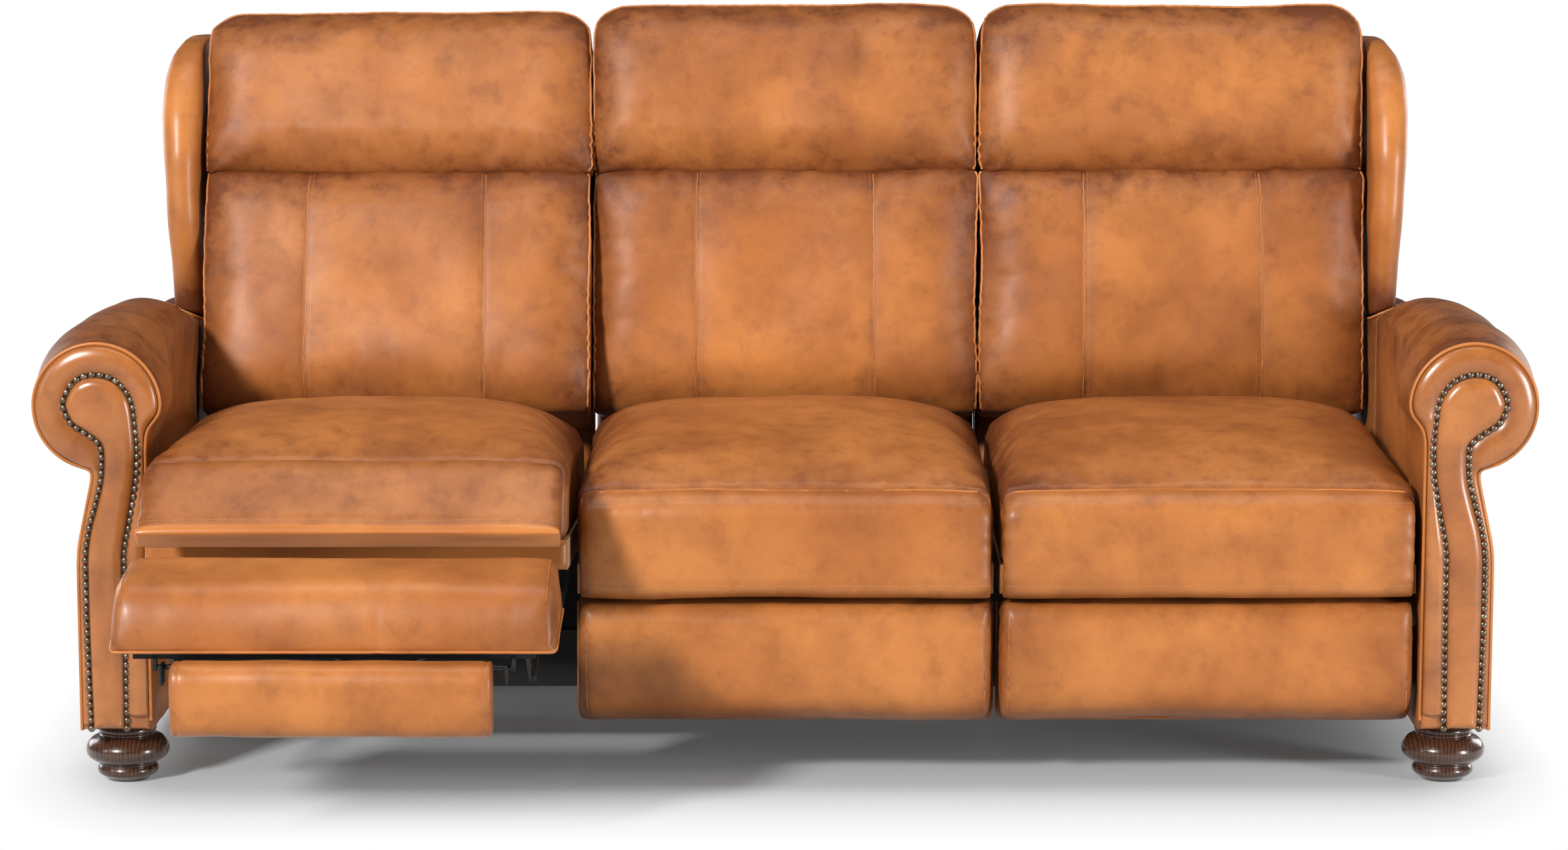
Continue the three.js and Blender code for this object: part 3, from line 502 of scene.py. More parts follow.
class Channel:
    """A node's output with arithmetic: an expression on channels adds its Math nodes."""

    def __init__(self, graph, socket):
        self.graph = graph
        self.socket = socket

    def other(self, output):
        """Another output of the same node."""
        return Channel(self.graph, self.socket.node.outputs[output])

    def _math(self, operation, left, right):
        return self.graph.node("ShaderNodeMath", {0: left, 1: right}, {"operation": operation})

    def __add__(self, other):
        return self._math("ADD", self, other)

    def __radd__(self, other):
        return self._math("ADD", other, self)

    def __sub__(self, other):
        return self._math("SUBTRACT", self, other)

    def __rsub__(self, other):
        return self._math("SUBTRACT", other, self)

    def __mul__(self, other):
        return self._math("MULTIPLY", self, other)

    def __rmul__(self, other):
        return self._math("MULTIPLY", other, self)


class Graph:
    """A node tree under construction."""

    def __init__(self, tree):
        self.tree = tree
        tree.nodes.clear()

    def node(self, kind, inputs=None, settings=None, output=0):
        """Adds a node: its settings first, a ramp's stops among them, then values or channels."""
        node = self.tree.nodes.new(kind)
        for key, value in (settings or {}).items():
            if key == "stops":
                ramp = node.color_ramp
                while len(ramp.elements) < len(value):
                    ramp.elements.new(0.5)
                for element, (place, shade) in zip(ramp.elements, value):
                    element.position = place
                    element.color = (shade, shade, shade, 1)
            else:
                setattr(node, key, value)
        for key, value in (inputs or {}).items():
            if isinstance(value, Channel):
                self.tree.links.new(value.socket, node.inputs[key])
            else:
                node.inputs[key].default_value = value
        return Channel(self, node.outputs[output]) if node.outputs else None


class Laying(Graph):
    """A geometry tree with named size inputs and a material input."""

    def __init__(self, name, *sizes):
        super().__init__(bpy.data.node_groups.new(name, "GeometryNodeTree"))
        sockets = [("Geometry", "Geometry"), *((size, "Float") for size in sizes), ("Material", "Material")]
        for label, kind in sockets:
            self.tree.interface.new_socket(label, in_out="INPUT", socket_type="NodeSocket" + kind)
        self.tree.interface.new_socket("Geometry", in_out="OUTPUT", socket_type="NodeSocketGeometry")

    def given(self, name):
        return self.node("NodeGroupInput", output=name)

    def ended(self, laid):
        """Ends the tree in real, smooth geometry of the given material."""
        real = self.node("GeometryNodeRealizeInstances", {"Geometry": laid})
        smooth = self.node("GeometryNodeSetShadeSmooth", {"Geometry": real})
        dyed = self.node("GeometryNodeSetMaterial", {"Geometry": smooth, "Material": self.given("Material")})
        self.node("NodeGroupOutput", {"Geometry": dyed})
        return self.tree


def piping_tree():
    """A round cord of one radius along each line."""
    tree = Laying("Piping", "Radius")
    ring = {"Resolution": 10, "Radius": tree.given("Radius")}
    section = tree.node("GeometryNodeCurvePrimitiveCircle", ring)
    return tree.ended(tree.node("GeometryNodeCurveToMesh", {
        "Curve": tree.given("Geometry"),
        "Profile Curve": section,
        "Fill Caps": True,
    }))


def stitch_tree():
    """Short round stitches end to end along each line."""
    tree = Laying("Stitches", "Pitch", "Length", "Thickness")
    spots = {"Curve": tree.given("Geometry"), "Length": tree.given("Pitch")}
    even = tree.node("GeometryNodeCurveToPoints", spots, {"mode": "LENGTH"})
    thread = tree.node("GeometryNodeMeshUVSphere", {"Segments": 6, "Rings": 4, "Radius": 0.5})
    thickness = tree.given("Thickness")
    size = tree.node("ShaderNodeCombineXYZ", {"X": thickness, "Y": thickness, "Z": tree.given("Length")})
    return tree.ended(tree.node("GeometryNodeInstanceOnPoints", {
        "Points": even,
        "Instance": thread,
        "Rotation": even.other("Rotation"),
        "Scale": size,
    }))


def nail_tree(dome):
    """A copy of a dome-head nail at an even pitch along each line."""
    tree = Laying("Nails", "Pitch")
    route = {"Curve": tree.given("Geometry"), "Length": tree.given("Pitch")}
    even = tree.node("GeometryNodeResampleCurve", route, {"mode": "LENGTH"})
    spots = tree.node("GeometryNodeCurveToPoints", {"Curve": even}, {"mode": "EVALUATED"})
    nail = tree.node("GeometryNodeObjectInfo", {"Object": dome}, output="Geometry")
    return tree.ended(tree.node("GeometryNodeInstanceOnPoints", {"Points": spots, "Instance": nail}))


def along_lines(name, lines, tree, material, **sizes):
    """Runs a tree on lines given as lists of points, and keeps what it makes as a plain mesh."""
    lines_object = added(name + "_line", drawn_curve(name + "_line", lines))
    laid = lines_object.modifiers.new("laid", "NODES")
    laid.node_group = tree
    values = {key.capitalize(): value for key, value in sizes.items()}
    values["Material"] = material
    for item in tree.interface.items_tree:
        if item.in_out == "INPUT" and item.name in values:
            laid[item.identifier] = values[item.name]
    graph = bpy.context.evaluated_depsgraph_get()
    mesh = bpy.data.meshes.new_from_object(lines_object.evaluated_get(graph), depsgraph=graph)
    bpy.data.objects.remove(lines_object)
    return added(name, mesh)


# Materials


class Recipe(Graph):
    """A material under construction."""

    def __init__(self, name):
        self.material = bpy.data.materials.new(name)
        self.material.use_nodes = True
        super().__init__(self.material.node_tree)

    def place(self, shift=(0, 0, 0), scale=(1, 1, 1)):
        """Where a point lies on the piece."""
        spot = self.node("ShaderNodeTexCoord", output="Object")
        return self.node("ShaderNodeMapping", {"Vector": spot, "Location": shift, "Scale": scale})

    def vector(self, operation, *values, output=0):
        return self.node("ShaderNodeVectorMath", dict(enumerate(values)), {"operation": operation}, output)

    def noise(self, place, scale, detail=2.0, roughness=0.5, distortion=0.0):
        return self.node("ShaderNodeTexNoise", {
            "Vector": place,
            "Scale": scale,
            "Detail": detail,
            "Roughness": roughness,
            "Distortion": distortion,
        })

    def ramp(self, value, *stops):
        return self.node("ShaderNodeValToRGB", {0: value}, {"stops": stops})

    def blend(self, share, first, second):
        """A colour between two colours."""
        inputs = {0: share, 6: first, 7: second}
        return self.node("ShaderNodeMix", inputs, {"data_type": "RGBA"}, output=2)

    def bump(self, height, strength, distance, below=None):
        inputs = {"Height": height, "Strength": strength, "Distance": distance}
        if below is not None:
            inputs["Normal"] = below
        return self.node("ShaderNodeBump", inputs)

    def surface(self, **inputs):
        """Ends the material in a Principled shader with the inputs given by name."""
        named = {key.replace("_", " "): value for key, value in inputs.items()}
        shader = self.node("ShaderNodeBsdfPrincipled", named)
        self.node("ShaderNodeOutputMaterial", {"Surface": shader})
        return self.material


def colour(values):
    return (*values, 1.0)


def leather_material(name, looks, darkness=0.0, shine=0.0):
    """Hand-burnished leather: clouds of darker dye, worn light patches, fine creases and pores, and the
    burnish, painted shade and painted light noted on each point.
    """
    recipe = Recipe(name)
    note = recipe.node("ShaderNodeAttribute", settings={"attribute_name": "hide"}, output="Vector")
    burnish_and_shade = recipe.node("ShaderNodeSeparateXYZ", {0: note})
    panel, tone_and_shade = burnish_and_shade.other(1), burnish_and_shade.other(2)
    apart = recipe.node("ShaderNodeCombineXYZ", {"X": panel * 3.7, "Y": panel * 1.9, "Z": panel * 5.3})
    spot = recipe.vector("ADD", recipe.place(), apart)
    clouds = recipe.noise(spot, 3.4, 3.0, 0.5, 0.15)
    patches = recipe.noise(spot, 9.0, 5.0, 0.58, 0.2)
    mottle = recipe.noise(spot, 30.0, 6.0, 0.68, 0.15)
    grain = recipe.noise(spot, 420.0, 2.0, 0.6)
    cloud_share = recipe.ramp(clouds + 0.3 * patches, (0.5, 0.0), (0.8, 1.0))
    patch_share = recipe.ramp(patches, (0.42, 0.0), (0.74, 1.0))
    fleck_share = recipe.ramp(mottle, (0.5, 0.0), (0.78, 1.0))
    base = recipe.blend(cloud_share, colour(looks.light), colour(looks.middle))
    # The noted darkening is burnish and painted shade together, and paints light where it is negative.
    edge = burnish_and_shade * (0.45 + 1.1 * mottle)
    dye_and_shade_share = 0.34 * patch_share + 0.26 * fleck_share + 0.75 * edge + 0.3 * tone_and_shade + darkness
    dyed = recipe.blend(recipe.node("ShaderNodeClamp", {0: dye_and_shade_share}), base, colour(looks.dark))
    speck = recipe.ramp(recipe.noise(spot, 150.0, 4.0, 0.75), (0.6, 0.0), (0.78, 1.0))
    pores = recipe.node("ShaderNodeTexVoronoi", {"Vector": spot, "Scale": 620.0}, {"feature": "F1"})
    creases = recipe.bump(recipe.noise(spot, 38.0, 6.0, 0.6, 0.6), 0.12, 0.0012)
    uneven_gloss = 0.1 * (grain - 0.5) + 0.16 * (patches - 0.5) + 0.08 * burnish_and_shade
    return recipe.surface(
        Base_Color=recipe.blend(0.35 * speck, dyed, colour(looks.dark)),
        Roughness=looks.roughness - 0.3 * shine + uneven_gloss,
        Normal=recipe.bump(grain + 0.5 * pores, 0.16, 0.0004, below=creases),
        Specular_IOR_Level=0.36,
        Coat_Weight=max(0.0, looks.polish + shine),
        Coat_Roughness=0.26,
    )


def plain_material(name, shade, wear, roughness, metallic, scale):
    """A hard finish: two close shades, uneven gloss and a fine surface."""
    recipe = Recipe(name)
    spot = recipe.place()
    broad = recipe.noise(spot, scale, 4.0, 0.6)
    fine = recipe.noise(spot, scale * 9, 3.0, 0.6)
    rubbed = recipe.ramp(broad, (0.52, 0.0), (0.72, 1.0))
    return recipe.surface(
        Base_Color=recipe.blend(rubbed, colour(shade), colour(wear)),
        Metallic=metallic,
        Roughness=roughness + 0.16 * (broad - 0.5) + 0.08 * (fine - 0.5),
        Normal=recipe.bump(fine, 0.2, 0.0004),
    )


def wood_material(name, pale, dark, roughness, coat, along):
    """Wood with its grain along one axis."""
    recipe = Recipe(name)
    stretch = [6.0, 6.0, 6.0]
    stretch[along] = 0.6
    spot = recipe.place(scale=stretch)
    waves = {"Vector": spot, "Scale": 9.0, "Distortion": 5.0, "Detail": 3.0, "Detail Scale": 1.6}
    rings = recipe.node("ShaderNodeTexWave", waves, {"bands_direction": "X" if along != 0 else "Y"})
    pores = recipe.noise(spot, 60.0, 4.0, 0.65)
    share = recipe.ramp(rings * 0.6 + 0.5 * pores, (0.3, 0.0), (0.85, 1.0))
    return recipe.surface(
        Base_Color=recipe.blend(share, colour(pale), colour(dark)),
        Roughness=roughness + 0.1 * (pores - 0.5),
        Normal=recipe.bump(rings * 0.3 + pores, 0.12, 0.0004),
        Coat_Weight=coat,
        Coat_Roughness=0.08,
    )


finishes = {}
trees = {}


def finish_piece(piece, body, material, replaces=()):
    """Dyes a piece, hangs it on its body and hides the CAD nodes it replaces."""
    if not piece.data.materials:
        piece.data.materials.append(finishes[material])
    if piece.type == "MESH":
        piece.data.polygons.foreach_set("use_smooth", [True] * len(piece.data.polygons))
    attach(piece, body)
    if replaces:
        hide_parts(*replaces)
    return piece


def upholstered(piece, body, move, node, material="leather"):
    """Takes a soft cover to its place and hides the CAD node it stands for."""
    piece.data.transform(move)
    finish_piece(piece, body, material, [node])


def piping(name, lines, radius, body, move=Matrix.Identity(4), material="welt leather"):
    """Welts or cords along lines."""
    cord = along_lines(name, lines, trees["piping"], finishes[material], radius=radius)
    cord.data.transform(move)
    finish_piece(cord, body, material)


def stitching(name, lines, body, move=Matrix.Identity(4)):
    """Rows of stitches along lines."""
    sizes = bpy.context.scene.sofa_trim
    rows = along_lines(name, lines, trees["stitches"], finishes["thread"], pitch=sizes.stitch_pitch,
                       length=sizes.stitch_length, thickness=sizes.thread_thickness)
    rows.data.transform(move)
    finish_piece(rows, body, "thread")


# Seats


def crown_at(across, along):
    """The crown's height over a seat, from 0 to 1: steep behind the front seam, lower at the rear."""
    peak, rear = 0.35, 0.6
    side = np.maximum(0, 1 - np.abs(across) ** 3.4) ** 0.58
    past = along - peak
    front_part = np.maximum(0, 1 - (past / (1 + peak)) ** 2) ** 0.72
    rear_part = 1 - (1 - rear) * (past / (1 - peak)) ** 2
    return side * np.where(past < 0, front_part, rear_part)


def build_seat_cushion(seat, number):
    body, move, low, high = seated("seat", "seat_cushion", seat)
    half = (high - low) / 2
    top = high.copy()
    top[2] = seated("boxing", "seat_boxing", seat)[3][2]
    crown = high[2] - top[2] - 5 * MM
    piece = soft_box(f"seat_cushion_leather_{seat}", low, top, 14 * MM, 11 * MM)
    a, b, c, points = spread(piece)
    points[:, 2] += crown * crown_at(a, b) * np.maximum(0, c)
    points[:, 0] -= np.sign(a) * 2 * MM * (1 - b ** 4) * smooth_step(np.abs(a), 0.8, 1) * (c > -0.9)
    move_to(piece, points)
    sewn = np.maximum(c < -0.2, np.abs(b) > 0.97).astype(float)
    swell(piece, np.maximum(sewn, 0.5 * (np.abs(a) > 0.985)), STUFFING)
    refined(piece)
    a, b, c, points = spread(piece)
    upward = smooth_step(c, 0.2, 0.9)
    from_front = (b + 1) * half[1]
    from_side = (1 - np.abs(a)) * half[0]
    lumps = lumpy(points, number, 1.6, 0.25)
    gathers = 0.7 * MM * puckers(points[:, 0], 0.03, number) * fade(from_front, 0.02)
    side_gathers = 1.6 * MM * puckers(points[:, 1], 0.045, number + 5) * fade(from_side, 0.025)
    raised(piece, points, upward * (lumps - gathers - side_gathers))
    # Darker towards the sides, the front seam and the rear under the back, and on the lower sides: burnish
    # and painted shade.
    burnish_and_shade = 0.25 * fade(from_front, 0.03) + 0.8 * fade(from_side, 0.04) + 0.5 * smooth_step(b, 0.3, 1) + 0.3
    hide(piece, burnish_and_shade * upward + (1 - upward) * 0.6, number, 0.1)
    upholstered(piece, body, move, f"seat_cushion_{seat}")


def build_board_wrap(seat, number):
    """Leather drawn over the front edge of a seat's board; it shows when the footrest is out."""
    body, move, low, high = seated("seat", "seat_deck", seat)
    _, front, base = seated("seat", "seat_cushion", seat)[2]
    wrap = lattice(f"seat_board_wrap_{seat}", [
        np.linspace(low[0] + 1 * MM, high[0] - 1 * MM, 60),
        np.array([front - 0.22 * MM, front - 0.04 * MM]),
        np.linspace(base - 43 * MM, base - 1 * MM, 5),
    ])
    wrap.data.transform(move)
    # The wrap is made lighter, as painted light against the shade under the boxing's overhang.
    hide(wrap, -0.2, number + 5, -0.5)
    finish_piece(wrap, body, "leather")


# A boxing's bottom roll in mm, its droop at the ends in mm, its painted shade all over and its painted shade
# at the hem, which is negative on the open seat and paints light on its shaded hem
OPEN_BOXING = ((9, 4), 8, 0.35, -1.2)
CLOSED_BOXING = ((30, 24), 4, 0, 0.3)
# How far from a boxing's top edge and hem its two seams run, and how far their stitches
TOP_SEAM, TOP_STITCHES = 0.0105, 0.0098
HEM_SEAM, HEM_STITCHES = 0.0235, 0.0225


def build_boxing(seat, number):
    """The boxing under a seat's front seam; the open seat's droops more, is darkened all over as painted
    shade and has a hem painted pale, as painted light on its shaded underside.
    """
    body, move, low, high = seated("boxing", "seat_boxing", seat)
    hem, droop, dark, hem_shade = OPEN_BOXING if seat == "left" else CLOSED_BOXING
    front = low + np.array([0, 3 * MM, 0])
    half = (high - low) / 2
    rolls = ((22, 12), (60, 38), hem)
    piece = pillow(f"seat_boxing_leather_{seat}", front, high, rolls, (5, 16), spacing=8 * MM)
    a, b, c, points = spread(piece)
    points[:, 2] -= droop * MM * np.abs(a) ** 4 * smooth_step(c, 0.3, 1)
    points[:, 1] -= 3 * MM * (1 - a ** 4) * (1 - c ** 4) * (b < -0.99)
    move_to(piece, points)
    refined(piece)
    a, b, c, points = spread(piece)
    forward = smooth_step(-b, -0.2, 0.9)
    from_side = (1 - np.abs(a)) * half[0]
    from_top = (1 - c) * half[2]
    from_bottom = (1 + c) * half[2]
    lumps = lumpy(points, number + 40, 1.2, 0.15, fine_length=0.05)
    gathers = 1.5 * MM * puckers(points[:, 2], 0.03, number + 9) * fade(from_side, 0.022)
    top_seam = 1.2 * MM * ridge(from_top - TOP_SEAM, 0.0028)
    low_seam = 1.4 * MM * ridge(from_bottom - HEM_SEAM, 0.003)
    ripple = 0.35 * MM * puckers(points[:, 0], 0.017, number + 3) * ridge(from_top - 0.02, 0.012)
    raised(piece, points, forward * (lumps - gathers - top_seam - low_seam - ripple))
    # Darker at the sides and the top edge: burnish and painted shade; the hem gets painted shade on the
    # closed seats and painted light on the open one.
    burnish_and_shade = 0.55 * fade(from_side, 0.035) + 0.3 * fade(from_top, 0.03)
    hide(piece, burnish_and_shade + dark + hem_shade * smooth_step(-c, 0.8, 0.95), number + 11, 0.1)
    cover = Cover(piece)
    across = np.linspace(-0.985, 0.985, 110)
    rows = [cover.line([(s, -1, edge - edge * drop / half[2]) for s in across], STITCH_LIFT)
            for edge, drop in ((1, TOP_STITCHES), (-1, HEM_STITCHES))]
    crease = cover.line([(s, -1, 1) for s in across], 0.3 * MM)
    upholstered(piece, body, move, f"seat_boxing_{seat}")
    stitching(f"seat_boxing_stitches_{seat}", rows, body, move)
    piping(f"seat_top_fell_{seat}", [crease], 1.5 * MM, body, move)


def build_footrest_pad(seat, number):
    body, move, low, high = seated("footrest", "footrest_pad", seat)
    middle, half = (low + high) / 2, (high - low) / 2
    front = low + np.array([0, 3 * MM, -2 * MM])
    piece = pillow(f"footrest_pad_leather_{seat}", front, high, ((22, 16), (40, 18), (108, 76)), (9, 9))
    a, b, c, points = spread(piece)
    points[:, 0] -= np.sign(a) * 5 * MM * smooth_step(-b, -0.4, 1) * smooth_step(np.abs(a), 0.9, 1)
    move_to(piece, points)
    swell(piece, (b > 0.55).astype(float), 3 * MM, pressure=1.5, slack=0.002)
    refined(piece)
    a, b, c, points = spread(piece)
    from_side = (1 - np.abs(a)) * half[0]
    soft = smooth_step(-b, -0.6, 0.2)
    lumps = lumpy(points, number + 70, 1.4, 0.15, fine_length=0.05)
    gathers = 0.9 * MM * puckers(points[:, 2] + points[:, 1], 0.028, number) * fade(from_side, 0.014)
    pleat = 2.5 * MM * ridge(points[:, 0] - middle[0] - 0.06, 0.004) * smooth_step(-c, 0.9, 1)
    raised(piece, points, soft * (lumps - gathers) - pleat)
    # Painted shade: the open pad, turned up to the lamps, is darker all over, and the closed pads darken
    # towards the bottom, which faces down; sides and top edge darken by burnish and painted shade.
    low_shade, tone_and_shade = (0.1, 0.3) if seat == "left" else (0.3, 0.1)
    burnish_and_shade = 0.5 * fade(from_side, 0.035) + 0.35 * smooth_step(c, 0.6, 1)
    burnish_and_shade += low_shade * smooth_step(-c, 0.6, 1)
    hide(piece, burnish_and_shade, number + 22, tone_and_shade)
    cover = Cover(piece)
    hem = cover.line(hoop(0.62, -1, (0.9, -0.9), 24, 0.99, 110), 0.8 * MM)
    end_seams = [cover.line([(0.962 * side, -1, s) for s in np.linspace(-0.8, 0.8, 40)], 0.1 * MM)
                 for side in (-1, 1)]
    upholstered(piece, body, move, f"footrest_pad_{seat}")
    piping(f"footrest_welt_{seat}", [hem], WELT, body, move)
    piping(f"footrest_end_seams_{seat}", end_seams, THIN_SEAM, body, move)


STRAP_REACH = 0.2385


def build_flipper(seat, number):
    """The narrow pad below a footrest, the tube that it turns on and their straps."""
    sizes = bpy.context.scene.sofa_soft
    body, move, low, high = seated("flipper", "flipper", seat)
    middle = (low[0] + high[0]) / 2
    low[0], high[0] = middle - sizes.flipper_width / 2, middle + sizes.flipper_width / 2
    low[1] = high[1] - sizes.flipper_thickness
    half = (high - low) / 2
    rolls = ((20, 11), (46, 22), (46, 22))
    piece = pillow(f"flipper_leather_{seat}", low, high, rolls, (6, 6), spacing=8 * MM, facing=1)
    refined(piece)
    a, _, c, points = spread(piece)
    from_side = (1 - np.abs(a)) * half[0]
    seam = 1.4 * MM * ridge(from_side - 0.009, 0.0022)
    raised(piece, points, 0.9 * MM * uneven(points, 0.14, number + 110) - seam)
    # Darker at the ends and towards the top and bottom: burnish and painted shade.
    hide(piece, 0.5 * fade(from_side, 0.012) + 0.15 * np.abs(c), number + 33, 0.15)
    upholstered(piece, body, move, f"flipper_{seat}")
    pivot = move.inverted() @ Vector(joints[f"flipper_turn_{seat}"]["pos_m"])
    end = STRAP_REACH + 8 * MM
    rod = [[(middle - end, pivot.y, pivot.z), (middle + end, pivot.y, pivot.z)]]
    piping(f"flipper_tube_{seat}", rod, 3.9 * MM, body, move, "steel")
    for name, side in SIDES.items():
        x = middle + side * STRAP_REACH
        strap = soft_box(f"flipper_strap_{seat}_{name}",
                         np.array([x - 2.5 * MM, pivot.y - 6 * MM, pivot.z - 7 * MM]),
                         np.array([x + 2.5 * MM, low[1] + 6 * MM, pivot.z + 22 * MM]), 1.5 * MM, 8 * MM)
        strap.data.transform(move)
        finish_piece(strap, body, "steel")


# Backs


def corner_pulls(points, corner, reach, depth, folds, seed):
    """Folds that run out from a pulled corner."""
    away = points - corner
    far = np.linalg.norm(away, axis=1)
    angle = np.arctan2(away[:, 2], np.abs(away[:, 0]) + 1e-6)
    return depth * np.sin(folds * angle + seed) * np.exp(-far / reach) * smooth_step(far, 0, 0.2 * reach)


def stuffed_panel(piece):
    """Swells a cushion's front panel, sewn down round its border."""
    a, b, c, _ = spread(piece)
    free = (b < -0.999) & (np.maximum(np.abs(a), np.abs(c)) <= 0.999)
    swell(piece, np.where(free, 0.0, 1.0), STUFFING)
    refined(piece)


def hoop(depth, end, stops, side_count, reach, count):
    """Stations along one side, over an end and back along the other side."""
    ring = [(-1, depth, s) for s in np.linspace(*stops, side_count)]
    ring += [(s, depth, end) for s in np.linspace(-reach, reach, count)]
    return ring + [(1, depth, s) for s in np.linspace(*stops[::-1], side_count)]


def build_lumbar(seat, number):
    sizes = bpy.context.scene.sofa_soft
    body, move, low, high = leaned("lumbar_cushion", seat)
    high[2] += sizes.crease_overlap
    front = low + PANEL_SETBACK
    middle, half = (high + front) / 2, (high - front) / 2
    seam_at = sizes.seam_spacing / 2 / half[0]
    piece = pillow(f"lumbar_leather_{seat}", front, high, ((88, 24), (60, 26), (120, 38)), (14, 12))
    stuffed_panel(piece)
    a, b, c, points = spread(piece)
    forward = smooth_step(-b, -0.2, 0.8)
    from_side = (1 - np.abs(a)) * half[0]
    from_seam = np.abs(np.abs(a) - seam_at) * half[0]
    from_crease = (1 - c) * half[2]
    lumps = lumpy(points, number + 130, 2.0, 0.2)
    groove = 1.2 * MM * ridge(from_seam, 0.02) + 1.3 * MM * ridge(from_seam, 0.0035)
    gathers = 0.7 * MM * puckers(points[:, 2], 0.06, number) * fade(from_side, 0.016)
    crease = 1.0 * MM * puckers(points[:, 0], 0.09, number + 2) * fade(from_crease, 0.025)
    pulls = 0
    for side in (-1, 1):
        x = middle[0] + side * half[0]
        top_corner = np.array([x, front[1], high[2]])
        low_corner = np.array([x, front[1], front[2] + 0.02])
        pulls = pulls + corner_pulls(points, top_corner, 0.07, 2.6 * MM, 9, number + side)
        pulls = pulls + corner_pulls(points, low_corner, 0.06, 1.4 * MM, 7, number + 3 * side)
    raised(piece, points, forward * (lumps - groove - gathers - crease + pulls))
    # Darker at the crease under the headrest, at the sides, along the seams and towards the bottom by the
    # seat: burnish and painted shade.
    burnish_and_shade = 1.0 * fade(from_crease, 0.06) + 0.8 * fade(from_side, 0.05)
    burnish_and_shade += 0.3 * fade(from_seam, 0.014) + 0.5 * smooth_step(-c, 0.55, 1)
    panel = np.where(np.abs(a) < seam_at, 0, np.sign(a)) * 3 + number
    hide(piece, burnish_and_shade * np.maximum(forward, 0.4), panel, 0.15 * np.cos(panel * 2.3))
    cover = Cover(piece)

    def upright(across, lift):
        return cover.line([(across, -1, s) for s in np.linspace(-0.97, 0.97, 60)], lift)

    welts = [smooth_line(upright(side, WELT_LIFT), 120) for side in (-1, 1)]
    rows = [upright(side * (seam_at - STITCH_SETBACK / half[0]), STITCH_LIFT) for side in (-1, 1)]
    ridges = [upright(side * seam_at, -0.1 * MM) for side in (-1, 1)]
    upholstered(piece, body, move, f"lumbar_cushion_{seat}", "back leather")
    piping(f"lumbar_welts_{seat}", welts, WELT, body, move)
    piping(f"lumbar_seams_{seat}", ridges, THIN_SEAM, body, move)
    stitching(f"lumbar_stitches_{seat}", rows, body, move)


def build_headrest(seat, number):
    body, move, low, high = leaned("headrest_cushion", seat)
    low[2] -= bpy.context.scene.sofa_soft.crease_overlap
    front = low + PANEL_SETBACK
    middle, half = (front + high) / 2, (high - front) / 2
    piece = pillow(f"headrest_leather_{seat}", front, high, ((80, 26), (80, 56), (64, 32)), (12, 54))
    stuffed_panel(piece)
    a, b, c, points = spread(piece)
    forward = smooth_step(-b, -0.3, 0.6)
    from_side = (1 - np.abs(a)) * half[0]
    from_crease = (1 + c) * half[2]
    lumps = lumpy(points, number + 170, 2.0, 0.2, length=0.22)
    gathers = 0.7 * MM * puckers(points[:, 2], 0.06, number + 4) * fade(from_side, 0.016)
    crease = 1.2 * MM * puckers(points[:, 0], 0.09, number + 6) * fade(from_crease, 0.025)
    pulls = 0
    for side in (-1, 1):
        corner = np.array([middle[0] + side * half[0], low[1] + 0.02, low[2]])
        pulls = pulls + corner_pulls(points, corner, 0.075, 3.2 * MM, 9, number + 2 * side)
    raised(piece, points, forward * (lumps - gathers - crease + pulls))
    # Darker at the crease, the sides, the top edge and round to the rear: burnish and painted shade.
    burnish_and_shade = 0.8 * fade(from_crease, 0.04) + 0.6 * fade(from_side, 0.05)
    burnish_and_shade += 0.95 * fade((1 - c) * half[2], 0.07) + 0.3 * smooth_step(b, -0.5, 0.2)
    hide(piece, burnish_and_shade, number + 44)
    welt = Cover(piece).line(hoop(-1, 1, (-0.97, 0.98), 44, 0.99, 90), WELT_LIFT)
    upholstered(piece, body, move, f"headrest_cushion_{seat}", "back leather")
    piping(f"headrest_welt_{seat}", [smooth_line(welt, 220)], WELT, body, move)


def build_outside_back(seat, number):
    """The padded outside of a back."""
    body, move, low, high = leaned("lumbar_cushion", seat)
    frame_low, frame_high = drawn_box(f"back_frame_{seat}", move)
    low = np.array([low[0], high[1] + 0.6 * MM, frame_low[2] + bpy.context.scene.sofa_soft.bracket_drop])
    high = np.array([high[0], frame_high[1], frame_high[2]])
    middle, half = (low + high) / 2, (high - low) / 2
    piece = soft_box(f"outside_back_leather_{seat}", low, high, 16 * MM, 11 * MM)
    a, b, c, points = spread(piece)
    x, z = points[:, 0] - middle[0], points[:, 2] - middle[2]
    x, z = rounded_section(x, z, half[0], half[2], np.where(z > 0, 60 * MM, 14 * MM))
    points[:, 0], points[:, 2] = x + middle[0], z + middle[2]
    points[:, 1] -= 9 * MM * smooth_step(b, 0, 1) * (1 - (1 - a ** 4) * (1 - c ** 4))
    move_to(piece, points)
    refined(piece)
    a, b, c, points = spread(piece)
    raised(piece, points, smooth_step(b, 0, 1) * 1.5 * MM * uneven(points, 0.2, number + 210))
    from_edge = np.minimum((1 - np.abs(a)) * half[0], (1 - np.abs(c)) * half[2])
    hide(piece, 0.5 * fade(from_edge, 0.04), number + 55, 0.2)
    welt = Cover(piece).line(hoop(0.55, 1, (-0.96, 0.9), 60, 0.88, 60), -0.9 * MM)
    upholstered(piece, body, move, f"back_frame_{seat}")
    piping(f"outside_back_welt_{seat}", [smooth_line(welt, 220)], 2.4 * MM, body, move)


# A bracket's outline round its pivot, in mm to the rear and up
BRACKET_OUTLINE_MM = ((-13, -13), (13, -13), (50, 25), (50, 63), (10, 63), (-13, 13))


